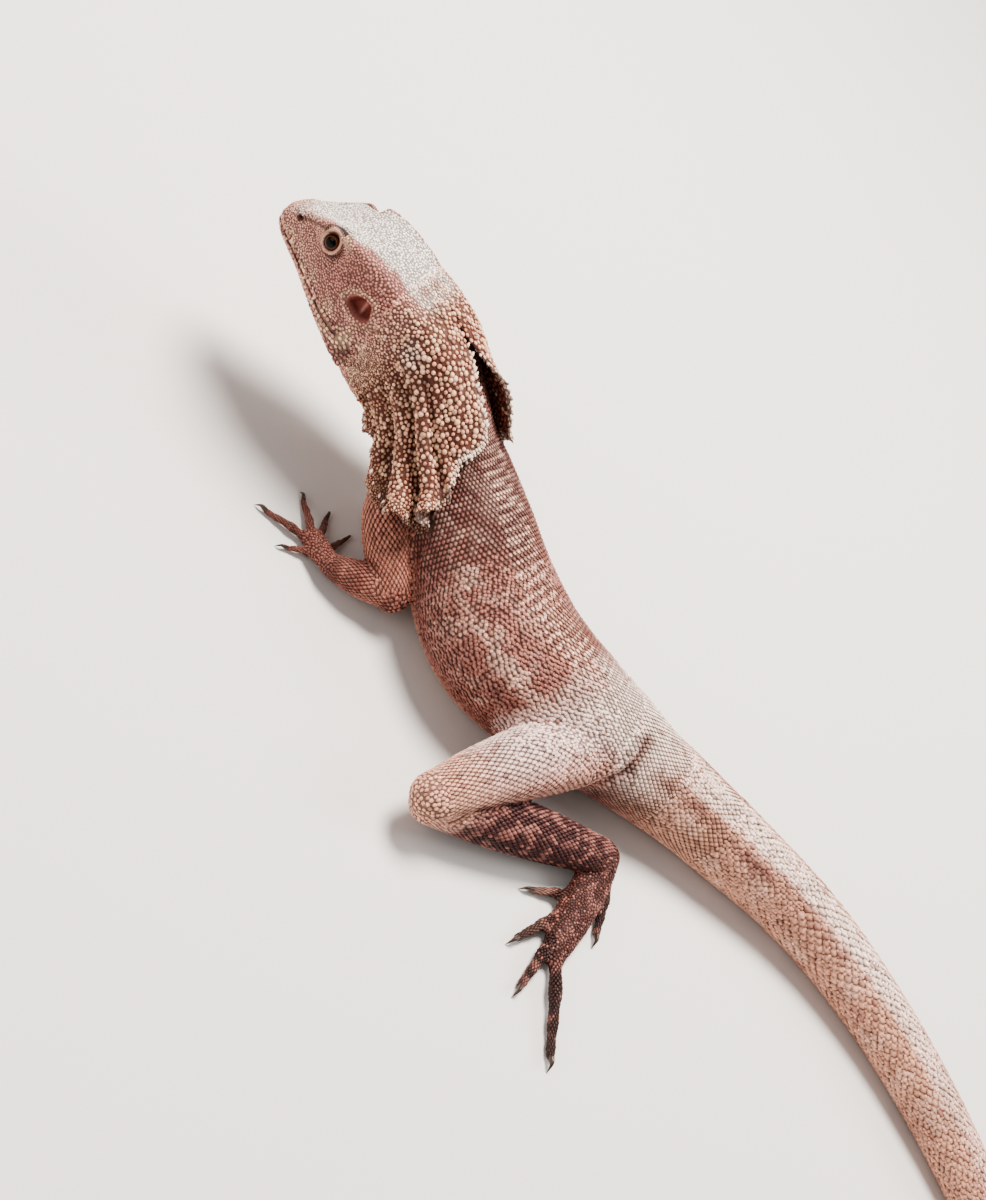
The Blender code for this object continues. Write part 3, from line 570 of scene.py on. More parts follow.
# %% A finer mesh on the head
def refine(mesh, wanted):
    """Splits the faces of a mesh in four where a test on their points holds."""
    work = bmesh.new()
    work.from_mesh(mesh)
    chosen = wanted(points_of(mesh))
    work.verts.ensure_lookup_table()
    edges = [edge for edge in work.edges if chosen[edge.verts[0].index] and chosen[edge.verts[1].index]]
    bmesh.ops.subdivide_edges(work, edges=edges, cuts=1, use_grid_fill=True, smooth=0)
    bmesh.ops.triangulate(work, faces=[face for face in work.faces if len(face.verts) > 4])
    work.to_mesh(mesh)
    work.free()
    mesh.update()


def on_face(points):
    behind, _, _ = head_place(points)
    return (behind < 53) & (points[:, 1] < -84)


refine(skin.data, on_face)
print("refined skin:", len(skin.data.vertices), "points")

# %% Distance to a line, such as that of the mouth
def gap_to_line(places, line):
    """Distance from each place to a polyline, and the share of the way along it of the nearest point."""
    best, share = np.full(len(places), 1e9), np.zeros(len(places))
    line = np.asarray(line, float)
    lengths = run_along(line)
    for i in range(len(line) - 1):
        a, b = line[i], line[i + 1]
        t = np.clip((places - a) @ (b - a) / max(np.dot(b - a, b - a), 1e-9), 0, 1)
        away = np.linalg.norm(places - a - t[:, None] * (b - a), axis=1)
        nearer = away < best
        best = np.where(nearer, away, best)
        share = np.where(nearer, (lengths[i] + t * (lengths[i + 1] - lengths[i])) / lengths[-1], share)
    return best, share


MOUTH_LINE = [(s, float(read_at(MOUTH, s)[0])) for s in np.linspace(-2, MOUTH[-1][0], 60)]


def mouth_gap(behind, height):
    return gap_to_line(np.stack([behind, height], 1), MOUTH_LINE)


# %% Where a place lies on the ear and the lids
LID_OPENING, LID_REACH = (2.8, 3.5), 3.0


def ear_ring(behind, height):
    """How far out from the middle of the ear, as a share of its uneven outline."""
    x, y = (behind - EAR_AT[0]) / EAR_HALF[0], (height - EAR_AT[2]) / EAR_HALF[1]
    turn = np.arctan2(y, x)
    return np.hypot(x, y) * (1 + 0.08 * np.sin(3 * turn + 0.6) + 0.03 * np.sin(5 * turn))


def lid_edge(turn):
    """Distance over the eyeball from the middle of the opening to its edge, for a turn round it."""
    return 1 / np.hypot(np.cos(turn) / LID_OPENING[0], np.sin(turn) / LID_OPENING[1])


def eye_ring(points, sign):
    """0 in the middle of the lids' opening, 1 at its edge, and 1 more for each LID_REACH beyond the edge."""
    centre, gaze, forward, upward = EYES[sign]
    way = unit(points - centre)
    arc = np.arccos(np.clip(way @ gaze, -1, 1)) * EYE_RADIUS
    edge = lid_edge(np.arctan2(way @ upward, way @ forward))
    ring = np.where(arc < edge, arc / edge, 1 + (arc - edge) / LID_REACH)
    return np.where(np.linalg.norm(points - centre, axis=1) < 12, ring, 9.0)


def nearest_ring(points):
    return np.minimum(eye_ring(points, 1), eye_ring(points, -1))


# %% Mouth, brow and nostril: how far out each moves the skin
def mouth_move(behind, height):
    """A groove with a lip over and under it."""
    away, share = mouth_gap(behind, height)
    above = height - np.interp(behind, *np.transpose(MOUTH_LINE))
    lips = 0.28 * hump(above - 1.3, 0.9) + 0.16 * hump(above + 1.3, 0.9)
    return (lips * (behind < 42) - 0.75 * hump(away, 0.34)) * fade(share, 0.93, 1.0)


def brow_move(behind, side, height):
    """A ridge from the nostril over the eye to the temple, and the hollow between snout and eye."""
    brow = [(s, *read_at(BROW, s) - (0, 1.2)) for s in np.linspace(4, 40, 30)]
    away, share = gap_to_line(np.stack([behind, side, height], 1), brow)
    ridge = 0.75 * hump(away, 1.2) * np.sin(math.pi * np.clip(share, 0, 1)) ** 0.5
    return ridge - 0.7 * hump(behind - 13.5, 4.5, height - 6.4, 3) * (side > 4)


def nostril_move(behind, side, height):
    """A pit with a raised rim."""
    away = np.hypot((behind - NOSTRIL_AT[0]) / 1.15, height - NOSTRIL_AT[2])
    return (0.42 * hump(away - 1.25, 0.5) - 1.5 * fade(away, 0.35, 1.0)) * (side > 3)


# %% Ear and loose skin, and all the moves together
def ear_move(behind, side, height):
    """A sunken drum with a fold across it, inside a low rim."""
    away = ear_ring(behind, height)
    fold = 1.3 * hump(behind - EAR_AT[0] - 0.8, 0.8, height - EAR_AT[2], 2.2)
    return (0.6 * hump(away - 1.18, 0.2) - 3.0 * fade(away, 0.5, 1.02)) * (side > 10) + fold


def loose_skin_move(behind, height):
    """Folds from the jaw's corner down the throat, and finer ones under the jaw."""
    folds = 0.35 * np.sin((behind * 0.8 - height * 0.5) * 1.35 + np.sin(height * 0.6) * 1.2)
    fine = 0.22 * np.sin((behind * 0.5 + height) * 1.15)
    folds = folds * ease(behind, 40, 50) * ease(-height, 4, 12)
    return folds + fine * ease(behind, 12, 24) * ease(-height, 8, 13) * fade(behind, 34, 44)


def shape_head(points, normals):
    behind, across, height = head_place(points)
    side = np.abs(across)
    move = mouth_move(behind, height) + brow_move(behind, side, height) + nostril_move(behind, side, height)
    move = move + ear_move(behind, side, height) + loose_skin_move(behind, height)
    near = (behind < 64) & (points[:, 1] < -75)
    return points + normals * (move * near)[:, None]


# %% Lids over the eyeball: a thick rim round the opening, with two folds behind it
LID_THICKNESS, OPENING_DEPTH = 0.55, 1.3


def shape_lids(points):
    for sign, (centre, *_) in EYES.items():
        ring = eye_ring(points, sign)
        away = points - centre
        radius = np.linalg.norm(away, axis=1)
        folds = 0.34 * hump(ring - 1.2, 0.17) - 0.3 * hump(ring - 1.55, 0.09) + 0.16 * hump(ring - 1.74, 0.12)
        wanted = radius + (EYE_RADIUS + LID_THICKNESS + folds - radius) * fade(ring, 1.55, 2.1)
        sunk = EYE_RADIUS - OPENING_DEPTH
        wanted = np.where(ring < 1.0, sunk + (wanted - sunk) * ease(ring, 0.9, 1.0), wanted)
        close = (ring < 2.4) & (radius < 9)
        points = np.where(close[:, None], centre + unit(away) * wanted[:, None], points)
    return points


points = points_of(skin.data)
points = shape_lids(smoothed(points, edges_of(skin.data), 3, on_face(points)))
set_points(skin.data, points)
points = shape_head(points, normals_of(skin.data))
print("the head's skin moves by up to", round(np.abs(points - points_of(skin.data)).max(), 2), "mm")
set_points(skin.data, points)

# %% [markdown]
# ## Creases and folds of the body
# A crease is a line in space with a width and a depth. Skin near it sinks, and bulges a little on both
# sides.

# %% Creases where limbs fold, behind the thigh and along the tail's base
CREASES = (
    (((-4, 70, 37), (6, 74, 30), (14, 72, 22), (17, 68, 12)), 1.5, 1.5),
    (((12, 44, 30), (6, 48, 35), (-2, 54, 39)), 2.6, 0.6),
    (((22, 44, 22), (19, 45, 12), (18, 46, 4)), 1.6, 1.2),
    (((57, 48, 21), (60, 50, 14), (58, 50, 6)), 1.2, 0.9),
    (((-12, 84, 36), (-22, 104, 31), (-31, 124, 27), (-38, 146, 23)), 2.6, 1.0),
    (((21, -27, 18), (27, -30, 15), (29, -30, 8)), 1.1, 0.8),
    (((20, 93, 14), (25, 94, 10), (26, 97, 4)), 0.9, 0.5),
    (((15, -30, 34), (19, -27, 25), (20, -24, 14)), 2.0, 0.9),
)


def crease(points, normals, line, width, depth):
    away, share = gap_to_line(points, line)
    ends = np.sin(math.pi * np.clip(share, 0.02, 0.98)) ** 0.5
    move = 0.35 * depth * hump(away - 2.1 * width, width) - depth * hump(away, width)
    return points + normals * (move * ends)[:, None]


points, normals = points_of(skin.data), normals_of(skin.data)
for line, width, depth in CREASES:
    points = crease(points, normals, line, width, depth)
print("creases:", len(CREASES))

# %% Faint folds on the flank
RIB_HEIGHT = 0.16
x, y, z = points.T
ribs = RIB_HEIGHT * np.sin(y * 0.95 + z * 0.35) * (x > 8)
ribs = ribs * ease(y, -30, -10) * fade(y, 30, 44) * ease(z, 8, 16) * fade(z, 34, 42)
set_points(skin.data, on_floor(points + normals * ribs[:, None], SKIN_LOWEST))

# %% The skin lies inside the outline by the depth of its scales
COAT_DEPTH = 0.25
points, normals = points_of(skin.data), normals_of(skin.data)
points = points - normals * (COAT_DEPTH * ease(nearest_ring(points), 1.3, 2.0))[:, None]
set_points(skin.data, on_floor(points, SKIN_LOWEST))

# %% Fewer triangles where the skin is plain
FLESH_TRIANGLES = 105000
faces_now = sum(len(polygon.vertices) - 2 for polygon in skin.data.polygons)
thin = skin.modifiers.new("thin", "DECIMATE")
thin.ratio = FLESH_TRIANGLES / faces_now
thin.use_collapse_triangulate = True
apply_modifiers(skin)
print("skin triangles:", faces_now, "to", len(skin.data.polygons))

# %% [markdown]
# ## The frill
# Folded back, the frill is a cape of thin skin. It is rooted behind the jaw and ear, lies over neck and
# shoulder, and falls into deep pleats below. A grid runs from its root (v = 0) to its margin (v = 1) and
# from the nape (u = 0) to the throat (u = 1). Rays from the neck's axis find what lies under each place, so
# that the sheet drapes over it, and a wave of growing depth makes the pleats.

# %% Rays that find the flesh under the frill
skin_tree = BVHTree.FromPolygons(points_of(skin.data).tolist(), faces_of(skin.data))
flesh_places, flesh_ups = points_of(skin.data), normals_of(skin.data)
flesh_triangles = np.array(faces_of(skin.data))


def farthest_hit(start, way, reach):
    found, travelled = 0.0, 0.0
    while travelled < reach:
        place = Vector(start + way * travelled)
        _, normal, _, distance = skin_tree.ray_cast(place, Vector(way), reach - travelled)
        if normal is None:
            break
        travelled += distance + 0.05
        if normal.dot(Vector(way)) > 0:
            found = travelled
    return found


# %% The neck's axis, and the outline of the head where the frill is rooted
axis_points = [*neck_centres, *(trunk_axis(y)[0] for y in (-47, -41, -34, -27, -20, -13, -6))]
FRILL_AXIS = np.column_stack([run_along(axis_points), np.array(axis_points)])
EARLY_ROWS = ((50, -1.3), (54, -0.55))
ROOT_RINGS = {s: head_ring(s) - in_head(s, 0, -3) for s in (*dict(EARLY_ROWS), HEAD_LENGTH)}


def head_radius(s, angle, sign):
    spokes = ROOT_RINGS[s]
    angles = np.arctan2(sign * spokes @ LEFT, spokes @ HEAD_UP) % math.tau
    order = np.argsort(angles)
    return np.interp(angle, angles[order], np.linalg.norm(spokes, axis=1)[order])


# %% A coarse grid that drapes over neck and shoulder
COARSE = (13, 45)
NAPE_OPENS = (0.12, 0.6)


def frill_way(side_name, sign, along, u, v):
    """Ways back along the frill's axis and out from it, for a place of the sheet, and its turn."""
    top_angle = float(FRILL_TOP_ANGLE[side_name] * ease(v, *NAPE_OPENS))
    angle = top_angle + (math.pi - top_angle) * u
    direction = unit(read_at(FRILL_AXIS, along + 1) - read_at(FRILL_AXIS, max(along - 1, 0)))
    turn = min(1, along / 12)
    direction = unit(BACK * (1 - turn) + direction * turn)
    side = unit(LEFT * sign - direction * np.dot(LEFT, direction) * sign)
    top = np.cross(direction, side) * sign
    top = top if top[2] > 0 else -top
    return direction, side * math.sin(angle) + top * math.cos(angle), angle


def draped(side_name, sign):
    rows, columns = COARSE
    starts, ways = np.zeros((2, rows, columns, 3))
    under, wanted = np.zeros((2, rows, columns))
    for r, c in np.ndindex(rows, columns):
        u, v = c / (columns - 1), r / (rows - 1)
        along = float(read_at(FRILL_LENGTHS[side_name], u)[0]) * v
        direction, way, angle = frill_way(side_name, sign, along, u, v)
        start = read_at(FRILL_AXIS, along)
        starts[r, c], ways[r, c] = start, way
        root_radius = head_radius(HEAD_LENGTH, angle, sign)
        if r:
            under[r, c] = max(farthest_hit(start + direction * k, way, FRILL_REACH) for k in (-1, 0, 1))
        hang = float(read_at(THROAT_HANG, u)[0]) * math.sin(min(1, v / 0.4) * math.pi / 2)
        flare = FLARE[side_name] * max(0, 1 - u / 0.22) ** 1.5 * math.sin(math.pi * min(1, 0.15 + v * 0.75))
        base = root_radius * (1 - v) + under[r, c] * v
        lowest = under[r, c] + FRILL_CLEARANCE if r else root_radius + 0.1
        wanted[r, c] = max(base, lowest) + hang + flare * float(ease(v, *NAPE_OPENS))
    for _ in range(4):
        calm = wanted.copy()
        calm[1:-1, 1:-1] = (wanted[:-2, 1:-1] + wanted[2:, 1:-1] + wanted[1:-1, :-2] + wanted[1:-1, 2:]) / 4
        wanted[1:] = np.maximum(calm, under + FRILL_CLEARANCE)[1:]
    return starts, ways, wanted


# %% The coarse grid is read at many more places, and waves make the pleats
FRILL_ROWS, FRILL_COLUMNS = 54, 186
HEM_CURL, PLEAT_SWAY = 3.0, 0.315


def finer(grid, rows, columns):
    """A grid of numbers read at more rows and columns, on smooth curves."""
    kept = grid.shape[2:]
    for count in (rows, columns):
        table = np.column_stack([np.linspace(0, 1, len(grid)), grid.reshape(len(grid), -1)])
        grid = read_at(table, np.linspace(0, 1, count)).reshape(count, grid.shape[1], -1).swapaxes(0, 1)
    return grid.reshape(rows, columns, *kept)


def pleats(side_name, reach, u, v):
    """How far out and how far round the sheet's places lie, and where each lies on its pleat."""
    begin = PLEATS_START[side_name]
    depth = np.maximum(read_at(PLEAT_DEPTHS[side_name], u[0])[:, 0], 0) * v
    phase = math.tau * PLEATS * (1 - u) / (1 - begin) + 0.35 * np.sin(u * 17 + v * 2.6) * v
    crest, small = 0.5 + 0.5 * np.cos(phase), 0.5 + 0.5 * np.cos(phase * 2.7 + 1.3)
    pleated = ease(u, begin - 0.05, begin + 0.1)
    reach = reach + 2 * depth * crest + 0.28 * depth * small * v
    reach = reach + (1.2 + HEM_CURL * crest) * v**6 * pleated
    reach = reach + 0.35 * np.sin(u * 41) * v**3 + 0.5 * v**5 * np.sin(u * 9 + 1)
    return reach, -PLEAT_SWAY * depth * np.sin(2 * phase) * v, crest, pleated


# %% Rows ahead of the root, teeth, and a gap between the halves
HEM_TEETH, TOP_TEETH, TOOTH_LENGTH = 30, 9, 1.7
HEM_SCALLOP = 5.0


def early_rows(sign):
    """Rows on the head ahead of the root, so that the sheet grows out of the skin."""
    angles = np.linspace(0, math.pi, FRILL_COLUMNS)
    way = LEFT * sign * np.sin(angles)[:, None] + HEAD_UP * np.cos(angles)[:, None]
    rows = []
    for s, lift in EARLY_ROWS:
        radius = np.array([head_radius(s, angle, sign) for angle in angles]) + lift
        rows.append(in_head(s, 0, -3) + way * radius[:, None])
    return np.array(rows)


def sawtooth(share, count):
    return 1 - 2 * np.abs((share * count) % 1 - 0.5)


def toothed(places, u, v, crest, pleated):
    """Scallops the pleated hem, and cuts teeth along the hem and along the free edge over the nape."""
    back, topward = unit(np.gradient(places, axis=0)), -unit(np.gradient(places, axis=1))
    hem = TOOTH_LENGTH * sawtooth(u, HEM_TEETH) ** 1.3 * ease(v, 0.955, 1.0)
    scallop = HEM_SCALLOP * (0.5 - crest) * pleated * np.clip(v, 0, 1) ** 3
    places = places + back * (hem + scallop)[..., None]
    top = 1.5 * TOOTH_LENGTH * sawtooth(v, TOP_TEETH) ** 1.3 * fade(u, 0.0, 0.012) * ease(v, 0.25, 0.45)
    return places + topward * top[..., None]


def kept_apart(places, starts, sign, u, v):
    """Keeps each half on its own side of the middle, on the nape and under the throat."""
    across = (places - starts) @ LEFT * sign
    nearest = np.where(v < 0.3, 0.02, 0.3)
    move = np.where((across < nearest) & ((u > 0.5) | (v < 0.3)), nearest - across, 0)
    return places + LEFT * sign * move[..., None]


# %% The two sheets, each with an outer and an inner face
FRILL_THICKNESS = ((0, 1.5), (0.2, 1.15), (0.7, 0.8), (1, 0.5))
FRILL_LOWEST = 2.0


def frill_sheet(side_name, sign):
    starts, ways, reach = (finer(grid, FRILL_ROWS, FRILL_COLUMNS) for grid in draped(side_name, sign))
    ways = unit(ways)
    v, u = np.meshgrid(np.linspace(0, 1, FRILL_ROWS), np.linspace(0, 1, FRILL_COLUMNS), indexing="ij")
    reach, round_it, crest, pleated = pleats(side_name, reach, u, v)
    places = starts + ways * reach[..., None] + unit(np.gradient(ways, axis=1)) * round_it[..., None]
    places = np.concatenate([early_rows(sign), places])
    v = np.concatenate([np.full((2, FRILL_COLUMNS), [[-0.2], [-0.1]]), v])
    grids = (starts, ways, u, crest, pleated)
    starts, ways, u, crest, pleated = (np.concatenate([grid[:2], grid]) for grid in grids)
    places = kept_apart(toothed(places, u, v, crest, pleated), starts, sign, u, v)
    places = on_floor(places, FRILL_LOWEST)
    normal = unit(np.cross(np.gradient(places, axis=0), np.gradient(places, axis=1)))
    normal = normal * (-1 if np.sum(normal * ways, axis=2).mean() < 0 else 1)
    half = read_at(FRILL_THICKNESS, np.clip(v, 0, 1)) * (0.45 + 0.55 * ease(u, 0, 0.02))[..., None] / 2
    faces = {"outer": places + normal * half, "inner": places - normal * half}
    # How deep each place lies in a pleat's valley, kept for the painted shade there.
    return {**faces, "u": u, "v": v, "normal": normal, "valley": (1 - crest) * pleated}


SIDES = {"left": 1, "right": -1}
frills = {name: frill_sheet(name, sign) for name, sign in SIDES.items()}
print("frill sheets:", {name: sheet["outer"].shape for name, sheet in frills.items()})

# %% Faces of the sheets
def grid_quads(index):
    """The four-cornered faces between the numbered places of a grid."""
    return np.stack([index[:-1, :-1], index[:-1, 1:], index[1:, 1:], index[1:, :-1]], -1).reshape(-1, 4)


def sheet_faces(index):
    """Faces of a closed sheet whose outer points have these numbers and whose inner ones come next."""
    under = index + index.size
    faces = [*grid_quads(index).tolist(), *grid_quads(under)[:, [0, 3, 2, 1]].tolist()]
    loop = [*index[0, :-1], *index[:-1, -1], *index[-1, :0:-1], *index[:0:-1, 0]]
    for a, b in zip(loop, loop[1:] + loop[:1]):
        faces.append([int(corner) for corner in (b, a, a + index.size, b + index.size)])
    return faces


FRILL_INDEX = np.arange(frills["left"]["u"].size).reshape(frills["left"]["u"].shape)
FRILL_QUADS = grid_quads(FRILL_INDEX)

# %% Skin and frill become one mesh
all_points, all_faces = [points_of(skin.data)], faces_of(skin.data)
flesh_count = len(all_points[0])
frill_first = {}
for name, sheet in frills.items():
    frill_first[name] = sum(len(block) for block in all_points)
    all_points += [sheet[face].reshape(-1, 3) for face in ("outer", "inner")]
    all_faces += sheet_faces(FRILL_INDEX + frill_first[name])
bpy.data.objects.remove(skin)
skin = mesh_object("skin", np.concatenate(all_points), all_faces)
face_out(skin.data, triangulate=True)
skin.data.shade_smooth()
print("skin with frill:", len(skin.data.polygons), "triangles")

# %% [markdown]
# ## Colours
# The colour of every place is worked out from where it lies: on the crown, the flank, the thigh and so on,
# with soft blotches on top. Skin and scales ask the same function, so the markings run over both. The
# result is kept in a colour attribute, and the materials read it.

# %% Soft blotches: smooth random numbers in space
def blotch(points, size, seed):
    """Smooth noise from 0 to 1 that changes over about the given size."""
    place = points / size + seed * 17.31
    cell = np.floor(place).astype(np.int64)
    t = place - cell
    t = t * t * (3 - 2 * t)
    total = np.zeros(len(points))
    for corner in range(8):
        bit = np.array([corner & 1, corner >> 1 & 1, corner >> 2 & 1])
        x, y, z = ((cell + bit) * (73856093, 19349663, 83492791)).T
        mixed = (x ^ y ^ z) * 2654435761 & 0xFFFFFFFF
        mixed = (mixed ^ mixed >> 15) * 2246822519 & 0xFFFFFFFF
        share = np.prod(np.where(bit, t, 1 - t), axis=1)
        total += share * (mixed >> 8 & 0xFFFF) / 65535
    return total


def tone(*on_screen):
    """A colour given as on a screen, 0 to 255, in the linear numbers that materials work with."""
    share = np.array(on_screen) / 255
    return np.where(share < 0.04045, share / 12.92, ((share + 0.055) / 1.055) ** 2.4)


def laid(colours, *coats):
    """A colour, or one for each point, with tones laid over it in turn, as far as their weights say."""
    for colour, weight in coats:
        colours = colours + (colour - colours) * np.clip(weight, 0, 1)[:, None]
    return colours


# %% Named tones
CROWN_WHITE, SNOUT_PINK = tone(248, 238, 230), tone(214, 160, 146)
CHEEK_BROWN, TEMPLE_BROWN = tone(196, 138, 128), tone(184, 124, 114)
DARK_BROWN, EAR_RED, LIP_PALE = tone(78, 40, 34), tone(104, 46, 36), tone(234, 198, 168)
FLANK_DARK, FLANK_MID, FLANK_LOW = tone(95, 54, 50), tone(152, 101, 91), tone(126, 75, 65)
PATCH_PALE, BACK_TAN, BELLY_PALE = tone(230, 188, 171), tone(197, 137, 118), tone(207, 163, 141)
HIP_PALE, THIGH_PALE, KNEE_PINK = tone(244, 221, 209), tone(228, 200, 193), tone(221, 168, 148)
SHIN_DARK, FOOT_BROWN, TOE_DARK = tone(76, 40, 39), tone(86, 48, 42), tone(60, 32, 28)
SHIN_FLECK, ARM_TAN, ARM_BROWN = tone(164, 110, 101), tone(180, 122, 106), tone(138, 86, 76)
THIGH_TAN_AND_UNDER_SHADE, HAND_BROWN, CREASE_PAINTED_SHADE = tone(204, 146, 128), tone(132, 82, 72), tone(95, 34, 20)
TAIL_TAN, TAIL_LIGHT = tone(209, 157, 135), tone(242, 202, 186)
TAIL_BAND, TAIL_GREY = tone(141, 97, 85), tone(186, 137, 122)
FRILL_CREAM, FRILL_PINK, FRILL_BROWN = tone(240, 198, 168), tone(196, 132, 114), tone(142, 80, 64)
FRILL_DARK_AND_SHADE, FRILL_EDGE, FRILL_INSIDE = tone(76, 32, 24), tone(250, 228, 212), tone(166, 100, 82)

# %% Where a place lies: limbs and trunk
LIMB_SAMPLES = {}
for side_name, segment, places in LIMBS:
    LIMB_SAMPLES[side_name, segment] = limb_path(places, 20)
for limbs, segment in ((ARMS, "fingers"), (LEGS, "toes")):
    for side_name, limb in limbs.items():
        dots, sizes = [], []
        for base, tip, radius in limb["digits"]:
            for share in np.linspace(0.12, 1, 9):
                dots.append((*(np.array(base) + (np.array(tip) - base) * share), 2.4))
                sizes.append(radius * 1.15)
        LIMB_SAMPLES[side_name, segment] = (np.array(dots), np.array(sizes))


def limb_ratio(points, key):
    """Distance from a limb's axis over its radius there, the share of the way along, and the sample."""
    centres, radii = LIMB_SAMPLES[key]
    best, index = np.full(len(points), 99.0), np.zeros(len(points), int)
    for i, (centre, radius) in enumerate(zip(centres, radii)):
        ratio = np.linalg.norm(points - centre, axis=1) / radius
        index = np.where(ratio < best, i, index)
        best = np.minimum(ratio, best)
    return best, index / (len(radii) - 1), index


def trunk_turn(points):
    """Turn from the top of the trunk or tail, in radians."""
    y = np.clip(points[:, 1], TRUNK[0][0], TAIL_END)
    x, z, half, above, below = read_at(TRUNK, y).T
    height = (points[:, 2] - z) / np.where(points[:, 2] > z, above, below)
    return np.arctan2((points[:, 0] - x) / half, height)


def limb_weight(points, names, full=1.12, none=1.6):
    weight, share = np.zeros(len(points)), np.zeros(len(points))
    for key in LIMB_SAMPLES:
        if key[1] in names:
            ratio, place, _ = limb_ratio(points, key)
            here = fade(ratio, full, none)
            share = np.where(here > weight, place, share)
            weight = np.maximum(weight, here)
    return weight, share


# %% Colours of the trunk and the tail
BACK_BAR, CREASE_SHADE_WIDTH = 3.7, 3.464


def paint_trunk(y, aside, fine, mid, wide):
    """Dark behind the frill, with pale patches and a barred back, and paler towards belly and hip."""
    streak = hump(aside - 0.95 - 0.2 * (wide - 0.5), 0.17) * ease(fine * 0.5 + mid * 0.5, 0.38, 0.6)
    back = fade(aside + 0.12 * (mid - 0.5), 0.24, 0.36) * ease(y, -48, -36) * fade(y, 44, 62)
    bars = 0.5 + 0.5 * np.sin(math.tau * y / BACK_BAR + 5 * aside + 3 * wide)
    hip = ease(y + 8 * (mid - 0.5), 32, 54) * fade(y, 84, 112) * fade(aside, 1.0, 1.7)
    return laid(
        FLANK_MID,
        (FLANK_DARK, fade(y, -34, 6) * (0.62 + 0.5 * (mid - 0.4))),
        (FLANK_LOW, 0.7 * ease(aside, 1.35, 1.9) * ease(wide, 0.25, 0.6)),
        (BACK_TAN, fade(aside, 0.1, 0.55) * ease(y, -20, 30)),
        (PATCH_PALE, 0.34 * ease(fine * 0.6 + mid * 0.4, 0.46, 0.66) * fade(aside, 1.5, 2.0)),
        (PATCH_PALE, 0.8 * streak * ease(y, -48, -38) * fade(y, 26, 50)),
        (PATCH_PALE, back * ease(bars, 0.3, 0.6) * (0.55 + 0.4 * ease(mid, 0.35, 0.6))),
        (FLANK_DARK, 0.6 * back * fade(bars, 0.12, 0.4)),
        (BELLY_PALE, ease(aside, 2.0, 2.5)),
        (FLANK_DARK, 0.45 * ease(fine, 0.58, 0.8) * fade(y, 20, 60) * ease(aside, 0.3, 0.5)),
        (HIP_PALE, 0.92 * hip),
    )


def tail_coats(points, aside, mid):
    """From tan at its base to grey at its tip, with a pale top, a dark line along its side, rings, and
    painted shade in the crease behind the thigh.
    """
    y = points[:, 1]
    tail = ease(y, 72, 104)
    line = hump(aside - 0.74 - 0.05 * np.sin(y / 9), 0.17) * ease(y, 74, 92)
    rings = 0.5 + 0.5 * np.sin(y / 9.5 + 2.2 * blotch(points, 30, 5))
    fold, _ = gap_to_line(points, CREASES[0][0])
    return [
        (TAIL_TAN + (TAIL_GREY - TAIL_TAN) * ease(y, 240, 420)[:, None], tail),
        (TAIL_LIGHT, 0.35 * tail * ease(mid, 0.5, 0.75)),
        (HIP_PALE, 0.8 * tail * fade(aside, 0.35, 0.6) * fade(y, 180, 330)),
        (TAIL_BAND, line * fade(y, 120, 220) * (0.55 + 0.5 * ease(mid, 0.35, 0.6))),
        (TAIL_BAND, 0.5 * ease(rings, 0.62, 0.95) * ease(y, 190, 300)),
        # Painted shade along the crease behind the thigh.
        (CREASE_PAINTED_SHADE, 0.85 * hump(fold, CREASE_SHADE_WIDTH)),
    ]


# %% Colours of the limbs
def leg_coats(points, fine):
    """A pale thigh that is tan on its lower, rear side, partly its own colour and partly painted shade, a
    pink knee and a dark, flecked shin.
    """
    weight, share = limb_weight(points, ("thigh",))
    coats = [(THIGH_PALE, 0.95 * weight * ease(share, 0.02, 0.3))]
    for side_name in LEGS:
        centres, radii = LIMB_SAMPLES[side_name, "thigh"]
        ratio, place, index = limb_ratio(points, (side_name, "thigh"))
        # Tan on the lower, rear side of each thigh: partly its own colour, partly painted shade from the
        # light above.
        low = (points - centres[index]) @ unit(BACK - UP) / radii[index]
        coats.append((THIGH_TAN_AND_UNDER_SHADE, 0.8 * fade(ratio, 1.12, 1.5) * ease(low, -0.8, 0.4) * ease(place, 0, 0.2)))
    coats.append((KNEE_PINK, weight * ease(share, 0.72, 0.95)))
    weight, share = limb_weight(points, ("shin",), 1.08, 1.3)
    dark = weight * ease(share, 0.12, 0.3)
    return [*coats, (SHIN_DARK, dark), (SHIN_FLECK, 0.75 * dark * ease(fine, 0.56, 0.72))]


def arm_and_foot_coats(points, fine, mid):
    upper, share = limb_weight(points, ("upper_arm",), 1.12, 1.4)
    lower, _ = limb_weight(points, ("forearm",), 1.12, 1.4)
    hand, _ = limb_weight(points, ("palm", "fingers"), 1.3, 1.7)
    foot, _ = limb_weight(points, ("sole",), 1.3, 1.7)
    toes, along = limb_weight(points, ("toes",), 1.4, 1.9)
    return [
        (ARM_TAN, upper * ease(share, 0.05, 0.3)),
        (ARM_BROWN, lower),
        (ARM_TAN, 0.7 * lower * ease(mid, 0.45, 0.65)),
        (HAND_BROWN, hand),
        (DARK_BROWN, 0.35 * hand * ease(mid, 0.5, 0.7)),
        (FOOT_BROWN, foot),
        (TOE_DARK, toes * (0.45 + 0.55 * ease(along, 0, 0.4))),
        (SHIN_FLECK, 0.5 * np.maximum(foot, toes) * ease(fine, 0.6, 0.78)),
    ]


# %% Colours of the crown, the lips, the ear and round the eyes
CROWN_NARROWS = 4.6


